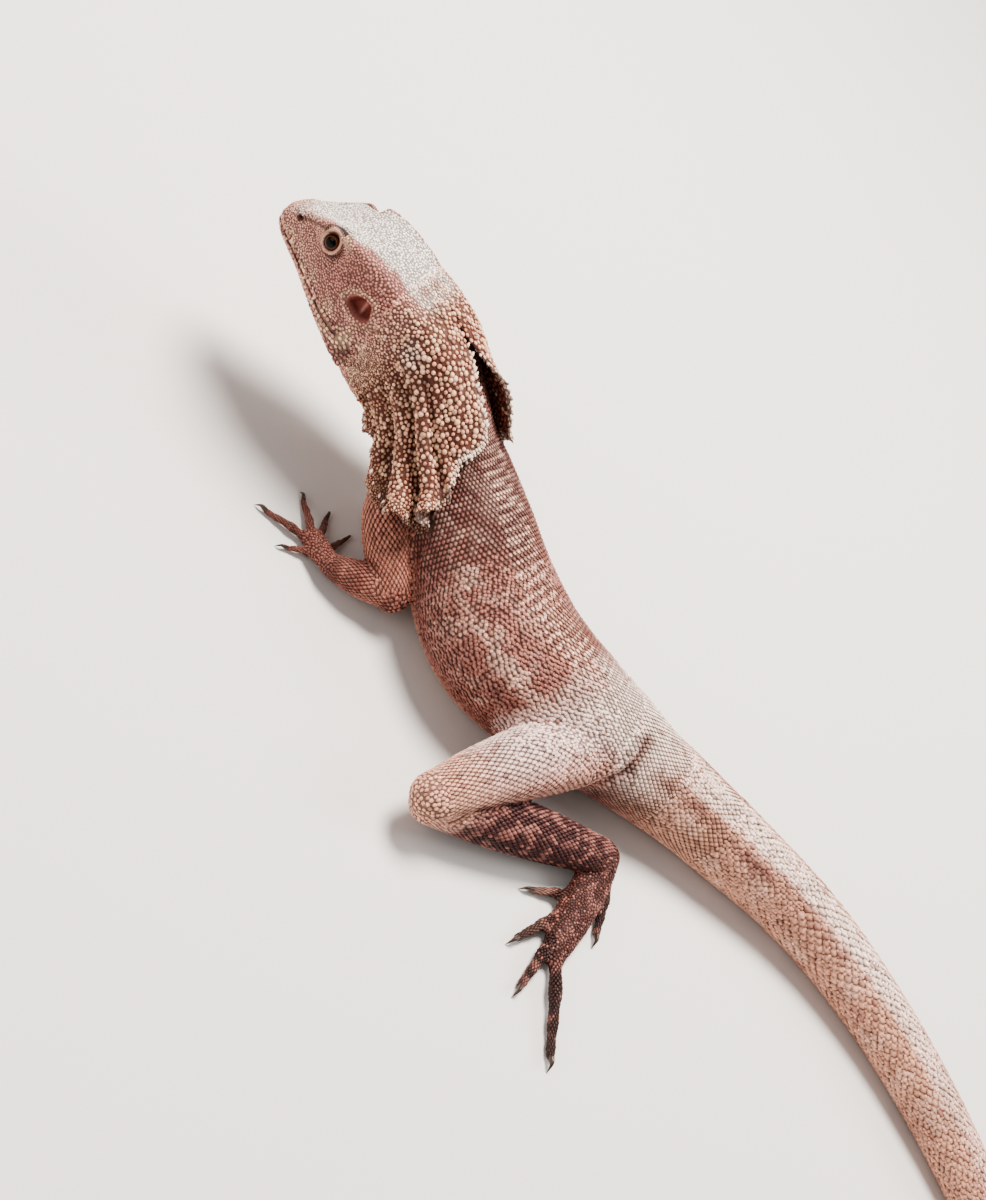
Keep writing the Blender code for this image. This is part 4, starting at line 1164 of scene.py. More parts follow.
def crown_coats(behind, across, height, fine, mid):
    """The pale crown, its brown patches at the back, and the dark line from the nostril to the brow."""
    side = np.abs(across)
    brow_side, brow_height = read_at(BROW, np.clip(behind, 0, HEAD_LENGTH)).T
    narrows = CROWN_NARROWS * (0.3 + 0.7 * ease(across, -3, 3)) * ease(behind, 22, 36)
    narrows = narrows + 2.4 * hump(behind - 19, 7)
    inside = brow_side - side - narrows + 3.5 * (mid - 0.5) + 2.5 * (fine - 0.5)
    above = height - brow_height
    crown = ease(inside, -1.8, 1.2) * ease(above, -3.2, -2.2) * ease(behind, 1, 9)
    line = hump(above + 2.4, 0.8) * ease(behind, 4, 9) * fade(behind, 24, 32) * ease(side - brow_side, -3, -2)
    return [
        (CROWN_WHITE, crown * (0.96 - 0.4 * ease(fine, 0.66, 0.82) * ease(behind, 30, 44))),
        (TEMPLE_BROWN, 0.9 * hump(behind - 47, 3.6, height - 11.5, 3.2)),
        (TEMPLE_BROWN, 0.8 * hump(behind - 54, 2.4, side - 3.5, 3) * (height > 10)),
        (DARK_BROWN, 0.8 * line),
    ]


def lip_coats(behind, height, fine):
    """Dark and pale plates along the mouth, and the pale stripe behind its corner."""
    away, share = mouth_gap(behind, height)
    lips = hump(away, 3.2) * fade(share, 0.95, 1)
    return [
        (DARK_BROWN, 0.6 * lips * fade(fine, 0.3, 0.46)),
        (LIP_PALE, 0.9 * lips * ease(fine, 0.44, 0.6)),
        (LIP_PALE, 1.1 * hump(behind - 46.5 - 0.2 * height, 2.2, height + 8, 4)),
    ]


def ear_coats(behind, side, height):
    """The red drum with a paler fold across it, and a pale rim."""
    away, there = ear_ring(behind, height), side > 10
    return [
        (EAR_RED, fade(away, 0.75, 1.08) * there),
        (CHEEK_BROWN, 0.75 * hump(behind - EAR_AT[0] - 0.6, 0.7, height - EAR_AT[2], 2.4) * there),
        (LIP_PALE, 0.5 * hump(away - 1.3, 0.18) * there),
    ]


def eye_coats(points):
    """A dark ring in the fold, partly dark skin and partly painted shade, a pale rim and a dark edge round
    each opening.
    """
    coats = []
    for sign, (centre, *_) in EYES.items():
        ring = eye_ring(points, sign)
        close = fade(np.linalg.norm(points - centre, axis=1), EYE_RADIUS + 1.2, EYE_RADIUS + 2.6)
        # A dark ring in the fold round the lids: partly dark skin, partly painted shade.
        coats.append((DARK_BROWN, 0.75 * hump(ring - 1.66, 0.22) * close))
        coats.append((LIP_PALE, 0.6 * hump(ring - 1.22, 0.17)))
        coats.append((DARK_BROWN, fade(ring, 0.94, 1.03)))
    return coats


# %% The head's colours, and those of the whole body
def paint_head(points):
    behind, across, height = head_place(points)
    side = np.abs(across)
    fine, mid = blotch(points, 1.7, 6), blotch(points, 4.5, 7)
    nostril = np.hypot(behind - NOSTRIL_AT[0], height - NOSTRIL_AT[2])
    return laid(
        CHEEK_BROWN,
        (SNOUT_PINK, fade(behind, 14, 30)),
        (TEMPLE_BROWN, hump(behind - 38, 9, height - 10, 5)),
        (DARK_BROWN, 0.55 * ease(mid, 0.5, 0.72) * ease(-height, 2, 8)),
        (LIP_PALE, 0.6 * ease(fine, 0.5, 0.7) * ease(-height, -2, 5) * fade(-height, 14, 20)),
        *crown_coats(behind, across, height, fine, mid),
        *lip_coats(behind, height, fine),
        *ear_coats(behind, side, height),
        *eye_coats(points),
        # Painted shade in each nostril's pit, standing for the dark of its opening.
        (DARK_BROWN, 0.9 * fade(nostril, 0.6, 1.15) * (side > 3)),
    )


def paint_body(points):
    aside = np.abs(trunk_turn(points))
    fine, mid, wide = blotch(points, 2.6, 1), blotch(points, 7, 2), blotch(points, 19, 3)
    head = fade(head_place(points)[0], 56, 66) * (points[:, 1] < -70)
    return laid(
        paint_trunk(points[:, 1], aside, fine, mid, wide),
        *tail_coats(points, aside, mid),
        *leg_coats(points, fine),
        *arm_and_foot_coats(points, fine, mid),
        (paint_head(points), head),
    )


# %% The frill's colours, outside and inside
def paint_outside(points, u, v, valley):
    fine, mid, wide = blotch(points, 2.4, 8), blotch(points, 6, 9), blotch(points, 13, 10)
    return laid(
        FRILL_PINK,
        (FRILL_CREAM, 0.6 * ease(fine, 0.5, 0.72)),
        (FRILL_BROWN, 0.7 * ease(mid * 0.6 + wide * 0.4, 0.52, 0.7)),
        (FRILL_BROWN, 0.6 * ease(u, 0.42, 0.6)),
        (FRILL_DARK_AND_SHADE, 0.6 * ease(u, 0.52, 0.72) * ease(wide, 0.3, 0.6)),
        # Painted shade in the valleys of the pleats.
        (FRILL_DARK_AND_SHADE, 0.85 * ease(valley, 0.3, 0.85) * ease(v, 0.08, 0.3)),
        # A painted shadow of a fold between the head and the frill: a dark band where the sheet has no fold.
        (FRILL_DARK_AND_SHADE, 0.7 * hump(v - 0.2 - 0.1 * (wide - 0.5), 0.05) * ease(u, 0.24, 0.36)),
        (CROWN_WHITE, 0.7 * hump(u - 0.33, 0.05, v - 0.1, 0.05)),
        (FRILL_EDGE, 0.9 * ease(v, 0.86, 1.0) * fade(u, 0.24, 0.4)),
        (FRILL_EDGE, 0.6 * fade(u, 0.0, 0.05) * ease(v, 0.2, 0.5)),
    )


def paint_inside(points, u, v):
    return laid(
        FRILL_INSIDE,
        (FRILL_BROWN, 0.6 * ease(blotch(points, 6, 9), 0.4, 0.7)),
        (FRILL_EDGE, 0.7 * np.maximum(ease(v, 0.93, 1.0), fade(u, 0, 0.03))),
    )


def from_flesh(colours, points, v):
    """Colours of the frill's outside, with those of the flesh where it grows out of it."""
    return laid(colours, (paint_body(points), fade(v, -0.05, 0.15)))


# %% The skin's colours, darker than the scales: partly the darker skin between them, partly painted shade in the gaps
GAP_SHADE, SHEET_BROWN = 0.34, 0.75


def set_tones(mesh, colours):
    layer = mesh.color_attributes.new("tone", "FLOAT_COLOR", "POINT")
    four = np.column_stack([colours, np.ones(len(colours))])
    layer.data.foreach_set("color", four.astype(np.float32).ravel())


points = points_of(skin.data)
colours = np.zeros((len(points), 3))
colours[:flesh_count] = paint_body(points[:flesh_count])
for name, sheet in frills.items():
    u, v, valley = (sheet[key].ravel() for key in ("u", "v", "valley"))
    first, middle, end = frill_first[name] + len(u) * np.arange(3)
    brown = (FRILL_BROWN, np.full(len(u), SHEET_BROWN))
    outside = laid(paint_outside(points[first:middle], u, v, valley), brown)
    colours[first:middle] = from_flesh(outside, points[first:middle], v)
    colours[middle:end] = paint_inside(points[middle:end], u, v)
behind, across, height = head_place(points)
bare = fade(ear_ring(behind, height), 0.9, 1.1) * (np.abs(across) > 10)
bare = np.maximum(fade(nearest_ring(points), 1.1, 1.3), bare)[:, None]
# Away from eyes and ear the skin is darkened: partly its own darker colour, partly painted shade between the
# scales.
set_tones(skin.data, np.clip(colours * (GAP_SHADE + (1 - GAP_SHADE) * bare), 0, 1))
print("painted", len(points), "points of skin")

# %% [markdown]
# ## Materials
# Skin and scales share one recipe: the painted tone, broken up by a fine noise, a dry surface with a faint
# sheen, and a slight bump. Scales also carry how high each of their points stands, and their tone is painted
# lighter on the keels and darker at the rims: a painted highlight and painted shade.

# %% Helpers for nodes
def fill(tree, made, inputs):
    """Fills a node's inputs, each with a socket to link or with a plain value."""
    for name, value in inputs.items():
        if isinstance(value, bpy.types.NodeSocket):
            tree.links.new(value, made.inputs[name])
        else:
            made.inputs[name].default_value = value


def node(tree, kind, inputs=None, **values):
    made = tree.nodes.new(kind)
    for name, value in values.items():
        setattr(made, name, value)
    fill(tree, made, inputs or {})
    return made


def mapped(tree, source, low, high, start=0.0, end=1.0):
    """A value that runs from start to end, stretched to run from low to high."""
    inputs = {"Value": source, "From Min": start, "From Max": end, "To Min": low, "To Max": high}
    return node(tree, "ShaderNodeMapRange", inputs).outputs["Result"]


def kept_value(tree, name, output="Fac"):
    """What the mesh keeps at each point under this name."""
    return node(tree, "ShaderNodeAttribute", attribute_name=name).outputs[output]


def noise(tree, scale, detail=2):
    place = node(tree, "ShaderNodeTexCoord").outputs["Object"]
    inputs = {"Vector": place, "Scale": scale, "Detail": detail}
    return node(tree, "ShaderNodeTexNoise", inputs).outputs["Fac"]


def ramped(tree, source, stops):
    """A colour that runs through the stops as a value goes from 0 to 1."""
    ramp = node(tree, "ShaderNodeValToRGB", {"Fac": source})
    elements = ramp.color_ramp.elements
    while len(elements) < len(stops):
        elements.new(0.5)
    for element, (position, colour) in zip(elements, stops):
        element.position = position
        element.color = (*colour, 1)
    return ramp.outputs["Color"]


def new_material(name):
    made = bpy.data.materials.new(name)
    made.use_nodes = True
    return made, made.node_tree, made.node_tree.nodes["Principled BSDF"]


# %% The recipe for skin and scales
GRAIN_SCALE, GRAIN_DETAIL, GRAIN_DEPTH = 1500, 3, 0.12 * MM


def hide_material(name, roughness, bump, keel_highlight, rim_shade, specular):
    made, tree, shader = new_material(name)
    grain = noise(tree, GRAIN_SCALE, GRAIN_DETAIL)
    shade = mapped(tree, grain, 0.84, 1.12, 0.3, 0.7)
    # The tone is made lighter where a scale stands high and darker at its rim: painted highlight and painted
    # shade.
    height = mapped(tree, kept_value(tree, "rise"), rim_shade, keel_highlight)
    both = node(tree, "ShaderNodeMath", {0: shade, 1: height}, operation="MULTIPLY").outputs["Value"]
    painted = {0: kept_value(tree, "tone", "Color"), "Scale": both}
    coloured = node(tree, "ShaderNodeVectorMath", painted, operation="SCALE").outputs["Vector"]
    relief = node(tree, "ShaderNodeBump", {"Strength": bump, "Distance": GRAIN_DEPTH, "Height": grain})
    dry = mapped(tree, grain, roughness - 0.1, roughness + 0.12)
    fill(tree, shader, {"Base Color": coloured, "Roughness": dry, "Specular IOR Level": specular})
    fill(tree, shader, {"Normal": relief.outputs["Normal"]})
    return made


# Scales get a painted highlight on their keels and painted shade at their rims; the skin gets neither.
skin_finish = hide_material("lizard skin", 0.66, 0.5, 1.0, 1.0, 0.3)
scale_finish = hide_material("lizard scales", 0.5, 0.25, 1.26, 0.42, 0.36)
bead_finish = hide_material("frill scales", 0.5, 0.25, 1.22, 0.36, 0.34)
skin.data.materials.append(skin_finish)

# %% [markdown]
# ## Eyes
# A glossy ball with a slight bulge over the iris. The lids of the skin lie round it. The iris is drawn by
# how far a place is from the middle of the gaze, so that pupil, iris and the dark white of the eye meet in
# clean rings.

# %% Eye material: pupil, iris and rim by distance from the gaze
EYE_RINGS = (
    (0.0, (0.001, 0.001, 0.001)), (0.44, (0.002, 0.001, 0.001)), (0.47, (0.1, 0.036, 0.014)),
    (0.54, (0.06, 0.02, 0.008)), (0.68, (0.03, 0.01, 0.005)), (0.78, (0.01, 0.004, 0.002)),
    (1.0, (0.004, 0.002, 0.001)),
)
eye_finish, tree, shader = new_material("wet eye")
streaks = {0: noise(tree, 1400), 1: 0.08, 2: -0.04}
spread = node(tree, "ShaderNodeMath", streaks, operation="MULTIPLY_ADD").outputs["Value"]
moved = {0: kept_value(tree, "gaze"), 1: spread}
moved = node(tree, "ShaderNodeMath", moved, operation="ADD").outputs["Value"]
fill(tree, shader, {"Base Color": ramped(tree, moved, EYE_RINGS)})
fill(tree, shader, {"Roughness": 0.08, "Specular IOR Level": 0.14})

# %% The two eyes
IRIS_RADIUS, CORNEA_RISE = 2.9, 0.22


def set_attribute(mesh, name, values):
    """Keeps a number or a vector for each point of a mesh."""
    values = np.asarray(values, np.float32)
    kind, field = ("FLOAT", "value") if values.ndim == 1 else ("FLOAT_VECTOR", "vector")
    mesh.attributes.new(name, kind, "POINT").data.foreach_set(field, values.ravel())


def make_eye(name, sign):
    centre, gaze = (Vector(values) for values in EYES[sign][:2])
    work = bmesh.new()
    bmesh.ops.create_uvsphere(work, u_segments=56, v_segments=36, radius=1)
    turn = Vector((0, 0, 1)).rotation_difference(gaze).to_matrix()
    mesh = bpy.data.meshes.new(name)
    gazes = []
    for vert in work.verts:
        way = turn @ vert.co
        arc = math.acos(max(-1, min(1, way.dot(gaze)))) * EYE_RADIUS
        bulge = CORNEA_RISE * float(fade(arc, 1.2, IRIS_RADIUS + 0.4))
        vert.co = (centre + way * (EYE_RADIUS + bulge)) * MM
        gazes.append(min(1.0, arc / IRIS_RADIUS * 0.72))
    work.to_mesh(mesh)
    work.free()
    set_attribute(mesh, "gaze", gazes)
    mesh.materials.append(eye_finish)
    mesh.shade_smooth()
    return shown(name, mesh)


eyes = {f"eye_{name}": make_eye(f"eye_{name}_glass", sign) for name, sign in SIDES.items()}
print("eye pieces:", list(eyes))

# %% [markdown]
# ## Claws
# Each toe ends in a hooked claw: a cone that bends down to its point, flattened at the sides. They are one
# piece.

# %% Claws along every toe
def claw_rings(base, tip, radius, claw):
    base, way, length, toe, _ = toe_line(base, tip, radius, claw)
    side = np.cross(way, UP)
    start, reach = base + way * length * toe, length * (1 - toe)
    rings = []
    for t in np.linspace(-0.28, 0.97, 12):
        ahead = max(t, 0)
        lift = radius * (0.98 + 0.42 * math.sin(ahead * math.pi * 0.8)) * (1 - ahead**2.2) + 0.12
        size = radius * 0.56 * (1 - ahead) ** 0.8 + 0.05
        rings.append(round_ring(start + way * reach * t + UP * lift, side, UP, size * 0.72, size, 12))
    return on_floor(rings, 0.02), start + way * reach + UP * 0.12


flesh_points.clear()
flesh_faces.clear()
for toe in TOES:
    rings, point = claw_rings(*toe)
    add_loft(rings, tip=point)
claws = mesh_object("claws", np.concatenate(flesh_points) * MM, flesh_faces)
face_out(claws.data)
claws.data.shade_smooth()
print("claws:", len(claws.data.polygons), "faces")

# %% Horn: dark brown, lighter in streaks
HORN_TONES = ((0, (0.018, 0.009, 0.006)), (1, (0.09, 0.05, 0.035)))
horn, tree, shader = new_material("claw horn")
fill(tree, shader, {"Base Color": ramped(tree, noise(tree, 600), HORN_TONES), "Roughness": 0.32})
claws.data.materials.append(horn)

# %% [markdown]
# ## The coat of scales
# Real scales are small hard plates, each fixed at its front edge and free at its back, laid like roof
# tiles. Here every scale is a closed solid of twenty to thirty faces. Four shapes are enough, because each
# copy gets its own size, turn and colour: a keeled plate for body and limbs, a granule for face and feet, a
# squarish plate for the lips and a round bead for the frill.

# %% The four shapes, one unit across, with the lie along +Y
def small_solid(name, points, faces):
    made = mesh_object(name, points, faces)
    face_out(made.data)
    points = np.array(points, np.float32)
    # How high each point stands, which the scales' material uses to paint a highlight on the keel and shade
    # at the rim.
    set_attribute(made.data, "rise", np.clip(points[:, 2] / points[:, 2].max(), 0, 1))
    set_attribute(made.data, "local_place", points * (1, 1, 0))
    return made


def keeled_plate():
    half = [(0, -0.5, 0), (0.34, -0.36, 0), (0.5, 0, 0.05), (0.33, 0.34, 0.14), (0, 0.6, 0.3)]
    rim = half + [(-x, y, z) for x, y, z in half[-2:0:-1]]
    keel, low = [(0, -0.3, 0.5), (0, 0.1, 0.95), (0, 0.42, 0.86)], [(0, 0, -0.6)]
    faces = [(k, (k + 1) % 8, 11) for k in range(8)]
    for a, b, c, d, e in ((0, 1, 2, 3, 4), (0, 7, 6, 5, 4)):
        faces += [(a, b, 8), (b, c, 8), (c, 9, 8), (c, d, 9), (d, 10, 9), (d, e, 10)]
    return small_solid("keeled plate", rim + keel + low, faces)


def dome(name, sides, shoulder, squareness=1.0):
    """A rounded lump with a flat-sided foot; a squareness below 1 fills the corners of its outline."""
    turn = math.tau * (np.arange(sides) + 0.5) / sides
    x, y = (np.sign(wave) * np.abs(wave) ** squareness / 2 for wave in (np.cos(turn), np.sin(turn)))
    foot = np.stack([x, y, np.zeros(sides)], 1)
    top = np.stack([x * 0.66, y * 0.66, np.full(sides, shoulder)], 1)
    points = np.concatenate([foot, top, [(0, 0, 1)], [(0, 0, -0.6)]])
    faces = []
    for k in range(sides):
        after = (k + 1) % sides
        faces += [(k, after, sides + k), (after, sides + after, sides + k)]
        faces += [(sides + k, sides + after, 2 * sides), (after, k, 2 * sides + 1)]
    return small_solid(name, points.tolist(), faces)


SHAPES = {
    "keeled": keeled_plate(),
    "granule": dome("granule", 6, 0.78),
    "bead": dome("bead", 8, 0.76),
    "plate": dome("plate", 8, 0.9, 0.55),
}
print("scale shapes:", {name: len(shape.data.polygons) for name, shape in SHAPES.items()})

# %% [markdown]
# ## Where the scales grow
# A root is a place on the skin with a way out, a lie and a size. Body, tail and limbs carry staggered rows
# round their axis, found by rays from the axis to the skin, which gives the even rows of a real lizard's
# flank and tail. Faces, feet and all that the rows leave bare get scattered roots that keep a set distance
# from each other.

# %% Roots: lists that grow, and a test for those already there
root_blocks = []


def straightened(lie, up):
    """The part of a lie that runs along the surface."""
    return unit(lie - up * np.sum(lie * up, axis=1, keepdims=True))


def add_roots(kind, place, up, lie, size):
    """Keeps roots of one shape. Sizes are width, length and height."""
    place, up, lie, size = (np.asarray(values, float).reshape(-1, 3) for values in (place, up, lie, size))
    if not len(place):
        return
    kinds = np.full(len(place), kind)
    lie = straightened(lie, up)
    root_blocks.append({"kind": kinds, "place": place, "up": up, "lie": lie, "size": size})


def all_roots(name):
    return np.concatenate([block[name] for block in root_blocks])


def tree_of(places):
    tree = KDTree(len(places))
    for i, place in enumerate(places):
        tree.insert(place, i)
    tree.balance()
    return tree


def up_at(face, place):
    """The smooth way out of the flesh at a place on one of its faces."""
    corners = flesh_triangles[face]
    nearness = 1 / (np.linalg.norm(flesh_places[corners] - place, axis=1) + 0.05)
    return unit(nearness @ flesh_ups[corners])


# %% Staggered rows of roots round an axis
LEAST_FACING, ROOM = 0.35, 0.72


def lattice(kind, centres, radii, sides, pitches, limit, warp=0.0, overlap=1.5, rise=0.3, ways=None):
    centres = np.asarray(centres, float)
    alongs = unit(np.gradient(centres, axis=0)) if ways is None else ways
    others = tree_of(all_roots("place")) if root_blocks else None
    found = []
    for row, (centre, along, pitch) in enumerate(zip(centres, alongs, pitches)):
        phase = math.tau * (np.arange(sides) + 0.5 * (row % 2)) / sides
        turns = phase + warp * np.sin(phase)
        side, up = side_and_up(along)
        outward = side * np.sin(turns)[:, None] + up * np.cos(turns)[:, None]
        widths = math.tau / sides * (1 + warp * np.cos(phase))
        for way, radius, width in zip(outward, radii(row, turns), widths):
            hit, normal, face, distance = skin_tree.ray_cast(Vector(centre), Vector(way), radius * limit)
            if hit is None or normal.dot(Vector(way)) < LEAST_FACING:
                continue
            wide = width * distance
            ahead = min(row + 1, len(centres) - 1)
            step = (centres[ahead] - np.array(hit)) @ alongs[ahead] / (along @ alongs[ahead])
            step = min(max(step, 0.45 * pitch), 1.7 * pitch) if ahead > row else pitch
            if (step < 0.6 * pitch and row % 2) or (others and others.find(hit)[2] < ROOM * wide):
                continue
            found.append((hit, up_at(face, np.array(hit)), along, (wide * 1.06, step * overlap, wide * rise)))
    if found:
        add_roots(kind, *zip(*found))
    return len(found)


# %% Rows on trunk and tail
ROW_EASING = np.linspace(-40, 40, 5)
LEAST_PITCH = 0.55


def trunk_rows(start, end, sides, pitch_share, warp, overlap):
    """Rows from one place to another. Their ways are the mean of the axis over ROW_EASING round them."""
    stops, pitches = [start], []
    while stops[-1] < end:
        half_width = trunk_axis(stops[-1])[2][0]
        pitches.append(max(pitch_share * math.tau * half_width / sides, LEAST_PITCH))
        stops.append(stops[-1] + pitches[-1])
    axes = [trunk_axis(y) for y in stops[:-1]]

    def radii(row, turns):
        half, above, below = axes[row][2]
        return 1 / np.hypot(np.sin(turns) / half, np.cos(turns) / np.where(np.cos(turns) > 0, above, below))

    near = np.clip(np.array(stops[:-1])[:, None] + ROW_EASING, TRUNK[0][0] + 1, TAIL_END - 1)
    ways = unit(np.array([[trunk_axis(y)[1] for y in line] for line in near]).mean(1))
    return lattice("keeled", [axis[0] for axis in axes], radii, sides, pitches, 1.2, warp, overlap, ways=ways)


TRUNK_ROWS = (
    (-58, 60, 100, 1.12, 0.2, 1.02), (60, 86, 76, 0.86, 0.18, 1.3), (86, 112, 52, 0.74, 0.16, 1.5),
    (112, 152, 36, 0.74, 0.1, 1.5), (152, 529, 25, 0.74, 0, 1.5),
)
for row in TRUNK_ROWS:
    print("rows from", row[0], "to", row[1], "mm:", trunk_rows(*row), "scales")

# %% Rows on the limbs
LIMB_SCALES = {"thigh": 1.95, "shin": 1.7, "upper_arm": 1.75, "forearm": 1.5}
PITCH_SHARE = 0.78


def along_limb(places, pitch):
    """Centres and radii of a limb at even steps."""
    centres, radii = limb_path(places, 200)
    run = run_along(centres)
    stops = np.arange(0, run[-1], pitch)
    at_stops = np.stack([np.interp(stops, run, centres[:, i]) for i in range(3)], 1)
    return at_stops, np.interp(stops, run, radii), radii.mean()


for side_name, segment, places in LIMBS:
    if segment not in LIMB_SCALES:
        continue
    pitch = PITCH_SHARE * LIMB_SCALES[segment]
    centres, reach, mean = along_limb(places, pitch)
    sides = round(math.tau * mean / LIMB_SCALES[segment])
    pitches = np.full(len(reach), pitch)
    count = lattice("keeled", centres, lambda row, turns: np.full(sides, reach[row]), sides, pitches, 1.32)
    print(side_name, segment, count, "scales")

# %% Rows on every toe
TOE_SIDES, TOE_PITCH = 9, 1.0
for digit in TOES:
    base, way, length, toe, rows = toe_line(*digit)
    shares = np.arange(0.05, toe + 0.02, TOE_PITCH / length)
    sizes = read_at(rows, np.minimum(shares, toe))
    centres = base + way * (length * shares)[:, None] + UP * sizes[:, 1:]
    lattice(
        "keeled", centres, lambda row, turns: np.full(TOE_SIDES, sizes[row, 0] + 0.6), TOE_SIDES,
        np.full(len(shares), TOE_PITCH), 1.3, 0, 1.45, 0.26, ways=np.tile(way, (len(shares), 1)),
    )
print("roots in rows:", len(all_roots("place")))

# %% Rows round the eyes: how far out, size, and height over size
LID_ROWS = ((1.16, 0.6, 0.42), (1.38, 0.66, 0.4), (1.6, 0.7, 0.36), (1.84, 0.76, 0.4))
OPENING_MEAN = 3.0
for centre, gaze, forward, upward in EYES.values():
    found = []
    for ring, size, height in LID_ROWS:
        count = round(math.tau * (OPENING_MEAN + (ring - 1) * LID_REACH) * 0.92 / size)
        for k in range(count):
            turn = math.tau * (k + dice.uniform(-0.12, 0.12)) / count
            arc = (lid_edge(turn) + (ring - 1) * LID_REACH) / EYE_RADIUS
            way = gaze * math.cos(arc) + (forward * math.cos(turn) + upward * math.sin(turn)) * math.sin(arc)
            hit, _, face, _ = skin_tree.ray_cast(Vector(centre + way * (EYE_RADIUS - 1.6)), Vector(way), 6)
            if hit is not None:
                found.append((hit, up_at(face, np.array(hit)), way - gaze, (size, size * 0.9, size * height)))
    add_roots("granule", *zip(*found))

# %% Plates along the lips, over and under the mouth
LIP_PITCH, LIP_WIDTHS, LIP_RISE = 1.7, ((1, 1.7), (-1, 1.55)), 0.42
LIP_LIE = BACK + HEAD_UP * -0.15
for sign in EYES:
    for above, width in LIP_WIDTHS:
        found = []
        for s in np.arange(0.9, 41.5, LIP_PITCH):
            height = read_at(MOUTH, s)[0] + above * (0.62 + width * 0.5)
            near = in_head(s, sign * (read_at(LIP, s)[0] + 1.5), height)
            hit, _, face, _ = skin_tree.find_nearest(Vector(near))
            long = LIP_PITCH * dice.uniform(0.92, 1.06)
            size = (width * dice.uniform(0.92, 1.1), long, LIP_RISE)
            found.append((hit, up_at(face, np.array(hit)), LIP_LIE, size))
        add_roots("plate", *zip(*found))
print("roots with lids and lips:", len(all_roots("place")))

# %% Scattered roots that keep their distance
AROUND = [(i, j, k) for i in (-1, 0, 1) for j in (-1, 0, 1) for k in (-1, 0, 1)]


def scatter(corners, gaps, taken, tries=10):
    """Random places on triangles that keep their gaps, with their triangles and corner weights."""
    area = np.linalg.norm(np.cross(corners[:, 1] - corners[:, 0], corners[:, 2] - corners[:, 0]), axis=1) / 2
    number = tries * area / gaps**2
    faces = dice.choice(len(area), int(number.sum()), p=number / number.sum())
    weights = dice.dirichlet((1, 1, 1), len(faces))
    places = np.einsum("nc,ncx->nx", weights, corners[faces])
    keys = np.floor(places / float(gaps.max())).astype(int).tolist()
    kept, grid = [], {}
    near = tree_of(taken) if len(taken) else None
    for n, ((x, y, z), (i, j, k), gap) in enumerate(zip(places.tolist(), keys, gaps[faces].tolist())):
        if near and near.find((x, y, z))[2] < gap * 0.86:
            continue
        others = (other for di, dj, dk in AROUND for other in grid.get((i + di, j + dj, k + dk), ()))
        if any((a - x) ** 2 + (b - y) ** 2 + (c - z) ** 2 < gap * room for a, b, c, room in others):
            continue
        grid.setdefault((i, j, k), []).append((x, y, z, gap))
        kept.append(n)
    return places[kept], faces[kept], weights[kept]


# %% Granules on the face
def eye_distance(points):
    return np.minimum.reduce([np.linalg.norm(points - centre, axis=1) for centre, *_ in EYES.values()])


def head_gaps(points):
    """Distance between the scales of the face: least at eye and lips, most at the jaw's corner."""
    behind, _, height = head_place(points)
    lips = height - read_at(MOUTH, np.clip(behind, 0, 43))[:, 0]
    gaps = 0.66 + 0.24 * ease(behind, 12, 44) + 0.4 * ease(-height, 5, 13)
    gaps = gaps + 0.5 * hump(behind - 47, 4, height + 6, 3.5)
    gaps = gaps + 0.32 * hump(lips, 3) * fade(behind, 42, 46) * ease(behind, 2, 8)
    return gaps * (0.8 + 0.2 * ease(eye_distance(points), 6, 9))


def bare_face(points):
    """Where the face has no scales: the eye's opening, the ear, the mouth's line and the nostrils."""
    behind, across, height = head_place(points)
    side = np.abs(across)
    mouth, _ = mouth_gap(behind, height)
    nostril = np.hypot(behind - NOSTRIL_AT[0], height - NOSTRIL_AT[2])
    bare = (nearest_ring(points) < 1.9) & (eye_distance(points) <= EYE_RADIUS + 1.5)
    bare |= ((ear_ring(behind, height) < 1.0) & (side > 10)) | ((mouth < 0.5) & (behind < 43))
    return bare | ((nostril < 1.15) & (side > 3))


def ups_at(faces, places):
    return np.array([up_at(face, place) for face, place in zip(faces, places)])


middles = flesh_places[flesh_triangles].mean(1)
on_head = (head_place(middles)[0] < 60) & (middles[:, 1] < -82)
wanted = np.where(on_head & ~bare_face(middles))[0]
corners = flesh_places[flesh_triangles[wanted]]
places, faces, _ = scatter(corners, head_gaps(middles[wanted]), all_roots("place"))
lies = BACK - HEAD_UP * 0.5 * ease(-head_place(places)[2], -4, 8)[:, None]
sizes = head_gaps(places)[:, None] * dice.uniform((1.15, 1.2, 0.26), (1.4, 1.5, 0.36), (len(places), 3))
add_roots("granule", places, ups_at(wanted[faces], places), lies, sizes)
print("face:", len(places), "scales")

# %% What is still bare: neck, hands, feet and the folds where limbs meet the trunk
feet = [limb_ratio(middles, key)[0] for key in LIMB_SAMPLES if key[1] in ("palm", "sole", "fingers", "toes")]
gaps = 0.84 + 0.4 * ease(np.minimum.reduce(feet), 1.25, 1.8)
wanted = np.where(~on_head & ((middles[:, 2] > 0.8) | (flesh_ups[flesh_triangles].mean(1)[:, 2] > -0.2)))[0]
places, faces, _ = scatter(flesh_places[flesh_triangles[wanted]], gaps[wanted], all_roots("place"))
steps = unit(read_at(TRUNK, places[:, 1] + 1)[:, :2] - read_at(TRUNK, places[:, 1] - 1)[:, :2])
lies = np.stack([steps[:, 0] * 0.5, np.ones(len(places)), steps[:, 1] * 0.5], 1)
nearest = np.full(len(places), 1.7)
for key, (centres, _) in LIMB_SAMPLES.items():
    ratio, _, index = limb_ratio(places, key)
    lies = np.where((ratio < nearest)[:, None], unit(np.gradient(centres, axis=0))[index], lies)
    nearest = np.minimum(nearest, ratio)
sizes = gaps[wanted][faces][:, None] * dice.uniform((1.2, 1.35, 0.3), (1.4, 1.6, 0.38), (len(places), 3))
add_roots("granule", places, ups_at(wanted[faces], places), lies, sizes)
print("filled in:", len(places), "scales")

